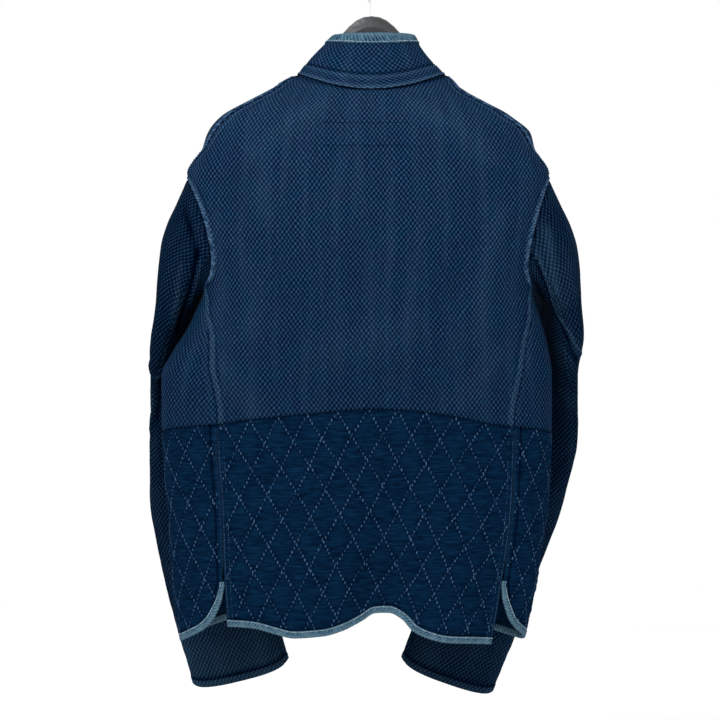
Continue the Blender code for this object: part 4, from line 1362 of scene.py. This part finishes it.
# Stitches beside each seam: name, on a front or the back, heights, depth, lift, seed
STITCHED_SEAMS = [
    ("shoulder_stitches_", True, shoulder_z, SEAM_STITCH_DEPTH, 0.1, 41),
    ("armhole_stitches_", False, arm_z, SEAM_STITCH_DEPTH, 0.1, 42),
    ("front_armhole_stitches_", True, arm_z, SEAM_STITCH_DEPTH, 0.1, 43),
    ("side_stitches_", False, side_z, 4.2, 0.9, 44),
]
BRAIDED_SEAMS = [
    ("back_arm_braid_", False, arm_z),
    ("front_arm_braid_", True, arm_z),
    ("shoulder_braid_", True, shoulder_z),
]
seam_rows = {"back": [], "left": [], "right": []}
for side_name, side in (("left", -1.0), ("right", 1.0)):
    for label, front, *rest in STITCHED_SEAMS:
        seam_rows[side_name if front else "back"].append(seam_row(label + side_name, side, front, *rest))
    for label, front, line in BRAIDED_SEAMS:
        seam_rows[side_name if front else "back"].append(braid_row(label + side_name, side, front, line))

vent_rows = []
for side, edge in ((-1.0, side_left), (1.0, side_right)):
    for depth in (2.6, 8.6):
        z_line = np.linspace(BAND_Z - 40.0, float(back_low(np.array([side * edge]))[0]) + 9.0, 60)
        s_line = np.full_like(z_line, side * (edge - depth))
        vent_rows.append(stitched_line(
            "vent_stitches_%s_%d" % ("left" if side < 0 else "right", depth), on_body, s_line, z_line,
            1.0, VENT_PACE, VENT_STITCH, sashiko_thread, 45))

# Faint sewn lines of a patch on the inside of the back, below the collar
PATCH_X = (-62.0, 43.0)
PATCH_Z = (-212.0, -244.0)


def girth_at(x, z):
    """Girth of the back at a place in x and height."""
    cx, a, power = [float(smooth(BODY[:, 0], BODY[:, k], z)) for k in (1, 2, 5)]
    share = (x - cx) / a
    sn = math.copysign(abs(share) ** (power / 2), share)
    return float(girth_of(math.asin(sn) / TWO_PI))


patch_rows = []
for k, z in enumerate(PATCH_Z):
    s_line = np.linspace(girth_at(PATCH_X[0], z), girth_at(PATCH_X[1], z), 30)
    patch_rows.append(stitched_line("patch_stitches_%d" % k, on_body, s_line, np.full_like(s_line, z), 0.05,
                                    PATCH_PACE, PATCH_STITCH, dark_thread, 46 + k))

# Stitches along the collar, at its foot and above the strip
collar_line = np.linspace(-HALF_GIRTH + 6.0, HALF_GIRTH - 6.0, 200)
foot_line = np.full(200, 0.035)
strip_line = np.full(200, 0.278)
collar_rows = [
    stitched_line("collar_base_stitches", on_collar, collar_line, foot_line, 0.75, COLLAR_PACE,
                  COLLAR_STITCH, seam_thread, 51),
    stitched_line("collar_strip_stitches", on_collar, collar_line, strip_line, -0.3, STRIP_PACE,
                  STRIP_STITCH, dark_thread, 52),
]

sleeve_rows = {}
for side_name in SLEEVES:
    rings, length = SLEEVE_LINES[side_name]
    hem_ring = float(np.interp(length[-1] - CUFF_HEM - 0.6, length, rings))

    def on_this(turn, ring, which=side_name):
        return on_sleeve(which, turn, ring)

    line = np.linspace(0.1, 8.9, 200)
    seam_turns = sleeve_seam(line) + 6.0
    thread = dark_thread
    if side_name == "right":
        path = np.array(SLEEVE_SEAM_PATH)
        knots = np.linspace(0.0, 1.0, len(path))
        fine = np.linspace(0.0, 1.0, 60)
        line = np.interp(fine, knots, np.interp(path[:, 1], length, rings))
        seam_turns = np.interp(fine, knots, path[:, 0])
        thread = seam_thread
    seam = stitched_line("sleeve_seam_stitches_" + side_name, on_this, seam_turns, line, 0.15, SEWN_PACE,
                         SEWN, thread, 61)
    turn_line = np.linspace(SLEEVE_FRONT_TURN - 358.0, SLEEVE_FRONT_TURN - 2.0, 200)
    hem = stitched_line("cuff_stitches_" + side_name, on_this, turn_line, np.full(200, hem_ring), 0.0,
                        CUFF_PACE, CUFF_STITCH, dark_thread, 62)
    sleeve_rows[side_name] = [seam, hem]

# Each piece, a slot name and the CAD part that it stands for, which is hidden; every piece hangs from the
# root
for piece, slot, node_name in (
        (back_body, "grain_cloth", "back_body"),
        (front_left, "grain_cloth", "front_body_left"),
        (front_right, "grain_cloth", "front_body_right"),
        (back_skirt, "band_cloth", "back_skirt"),
        (left_skirt, "band_cloth", "front_skirt_left"),
        (right_skirt, "band_cloth", "front_skirt_right"),
        (collar_cloth, "grain_cloth", "collar"),
        (back_tape, "faded_tape", "back_hem_binding"),
        (collar_tape, "faded_tape", "collar_binding")):
    belongs(piece, slot, node_name)
for side_name, (made, _) in front_tapes.items():
    belongs(made, "faded_tape", "front_hem_binding_" + side_name)
for (side_name, panel), (made, _) in sleeve_parts.items():
    belongs(made, "sleeve_cloth", "sleeve_" + side_name + "_" + panel)
tape_rows = [back_tape_stitches, collar_tape_stitches] + [rows for _, rows in front_tapes.values()]
for slot, pieces in (
        ("faded_tape", tape_rows),
        ("band_cloth", [back_diamonds, left_diamonds, right_diamonds, *vent_rows]),
        ("grain_cloth", sum(seam_rows.values(), []) + patch_rows + collar_rows),
        ("sleeve_cloth", sum(sleeve_rows.values(), []))):
    for piece in pieces:
        belongs(piece, slot)


for (side_name, panel), (made, size) in sleeve_parts.items():
    carrier = front_left if side_name == "left" else front_right
    sleeve_rows[side_name] if panel == "under" else []

for node_name, finish in (("hanger_body", plastic_finish), ("hanger_hook", wire_finish)):
    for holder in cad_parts[node_name].material_slots:
        holder.material = finish

# Floor, light and camera
FLOOR_Z = -1.15
CAMERA_PLACE = (-0.0148, -2.79, -0.509)
bpy.ops.object.select_all(action="DESELECT")
bpy.ops.mesh.primitive_plane_add(size=5.0, location=(0.0, 0.0, FLOOR_Z))
floor = bpy.context.object
floor.name = "floor"
floor_finish = Finish("pale_floor", roughness=0.9)
floor_finish.give("Base Color", (0.9, 0.9, 0.9, 1.0))
floor.data.materials.append(floor_finish.material)

world = bpy.data.worlds.new("studio")
world.use_nodes = True
world.node_tree.nodes["Background"].inputs["Color"].default_value = (1.0, 1.0, 1.0, 1.0)
world.node_tree.nodes["Background"].inputs["Strength"].default_value = 1.0
bpy.context.scene.world = world
bpy.context.scene.view_settings.view_transform = "Standard"


def soft_light(name, place, aim, size, power):
    lamp = bpy.data.lights.new(name, "AREA")
    lamp.shape = "RECTANGLE"
    lamp.size, lamp.size_y = size
    lamp.energy = power
    holder = bpy.data.objects.new(name, lamp)
    holder.location = place
    way = [a - p for a, p in zip(aim, place)]
    flat_run = math.hypot(way[0], way[1])
    holder.rotation_euler = (math.atan2(flat_run, -way[2]), 0.0, math.atan2(way[1], way[0]) - math.pi / 2)
    bpy.context.scene.collection.objects.link(holder)


soft_light("key", (-1.1, -1.9, 1.2), (0.0, 0.0, -0.45), (1.3, 1.3), 62.0)
soft_light("fill", (1.6, -1.6, 0.3), (0.0, 0.0, -0.5), (1.2, 1.6), 14.0)

# Focal length in pixels of the photograph, which is 720 wide
FOCAL = 2195.0
PHOTO_WIDE = 720.0
SENSOR = 36.0
camera_data = bpy.data.cameras.new("camera")
camera_data.lens = FOCAL / PHOTO_WIDE * SENSOR
camera_data.sensor_width = SENSOR
camera_data.clip_end = 50.0
camera = bpy.data.objects.new("camera", camera_data)
camera.location = CAMERA_PLACE
camera.rotation_euler = (math.pi / 2, 0.0, 0.0)
bpy.context.scene.collection.objects.link(camera)
bpy.context.scene.camera = camera
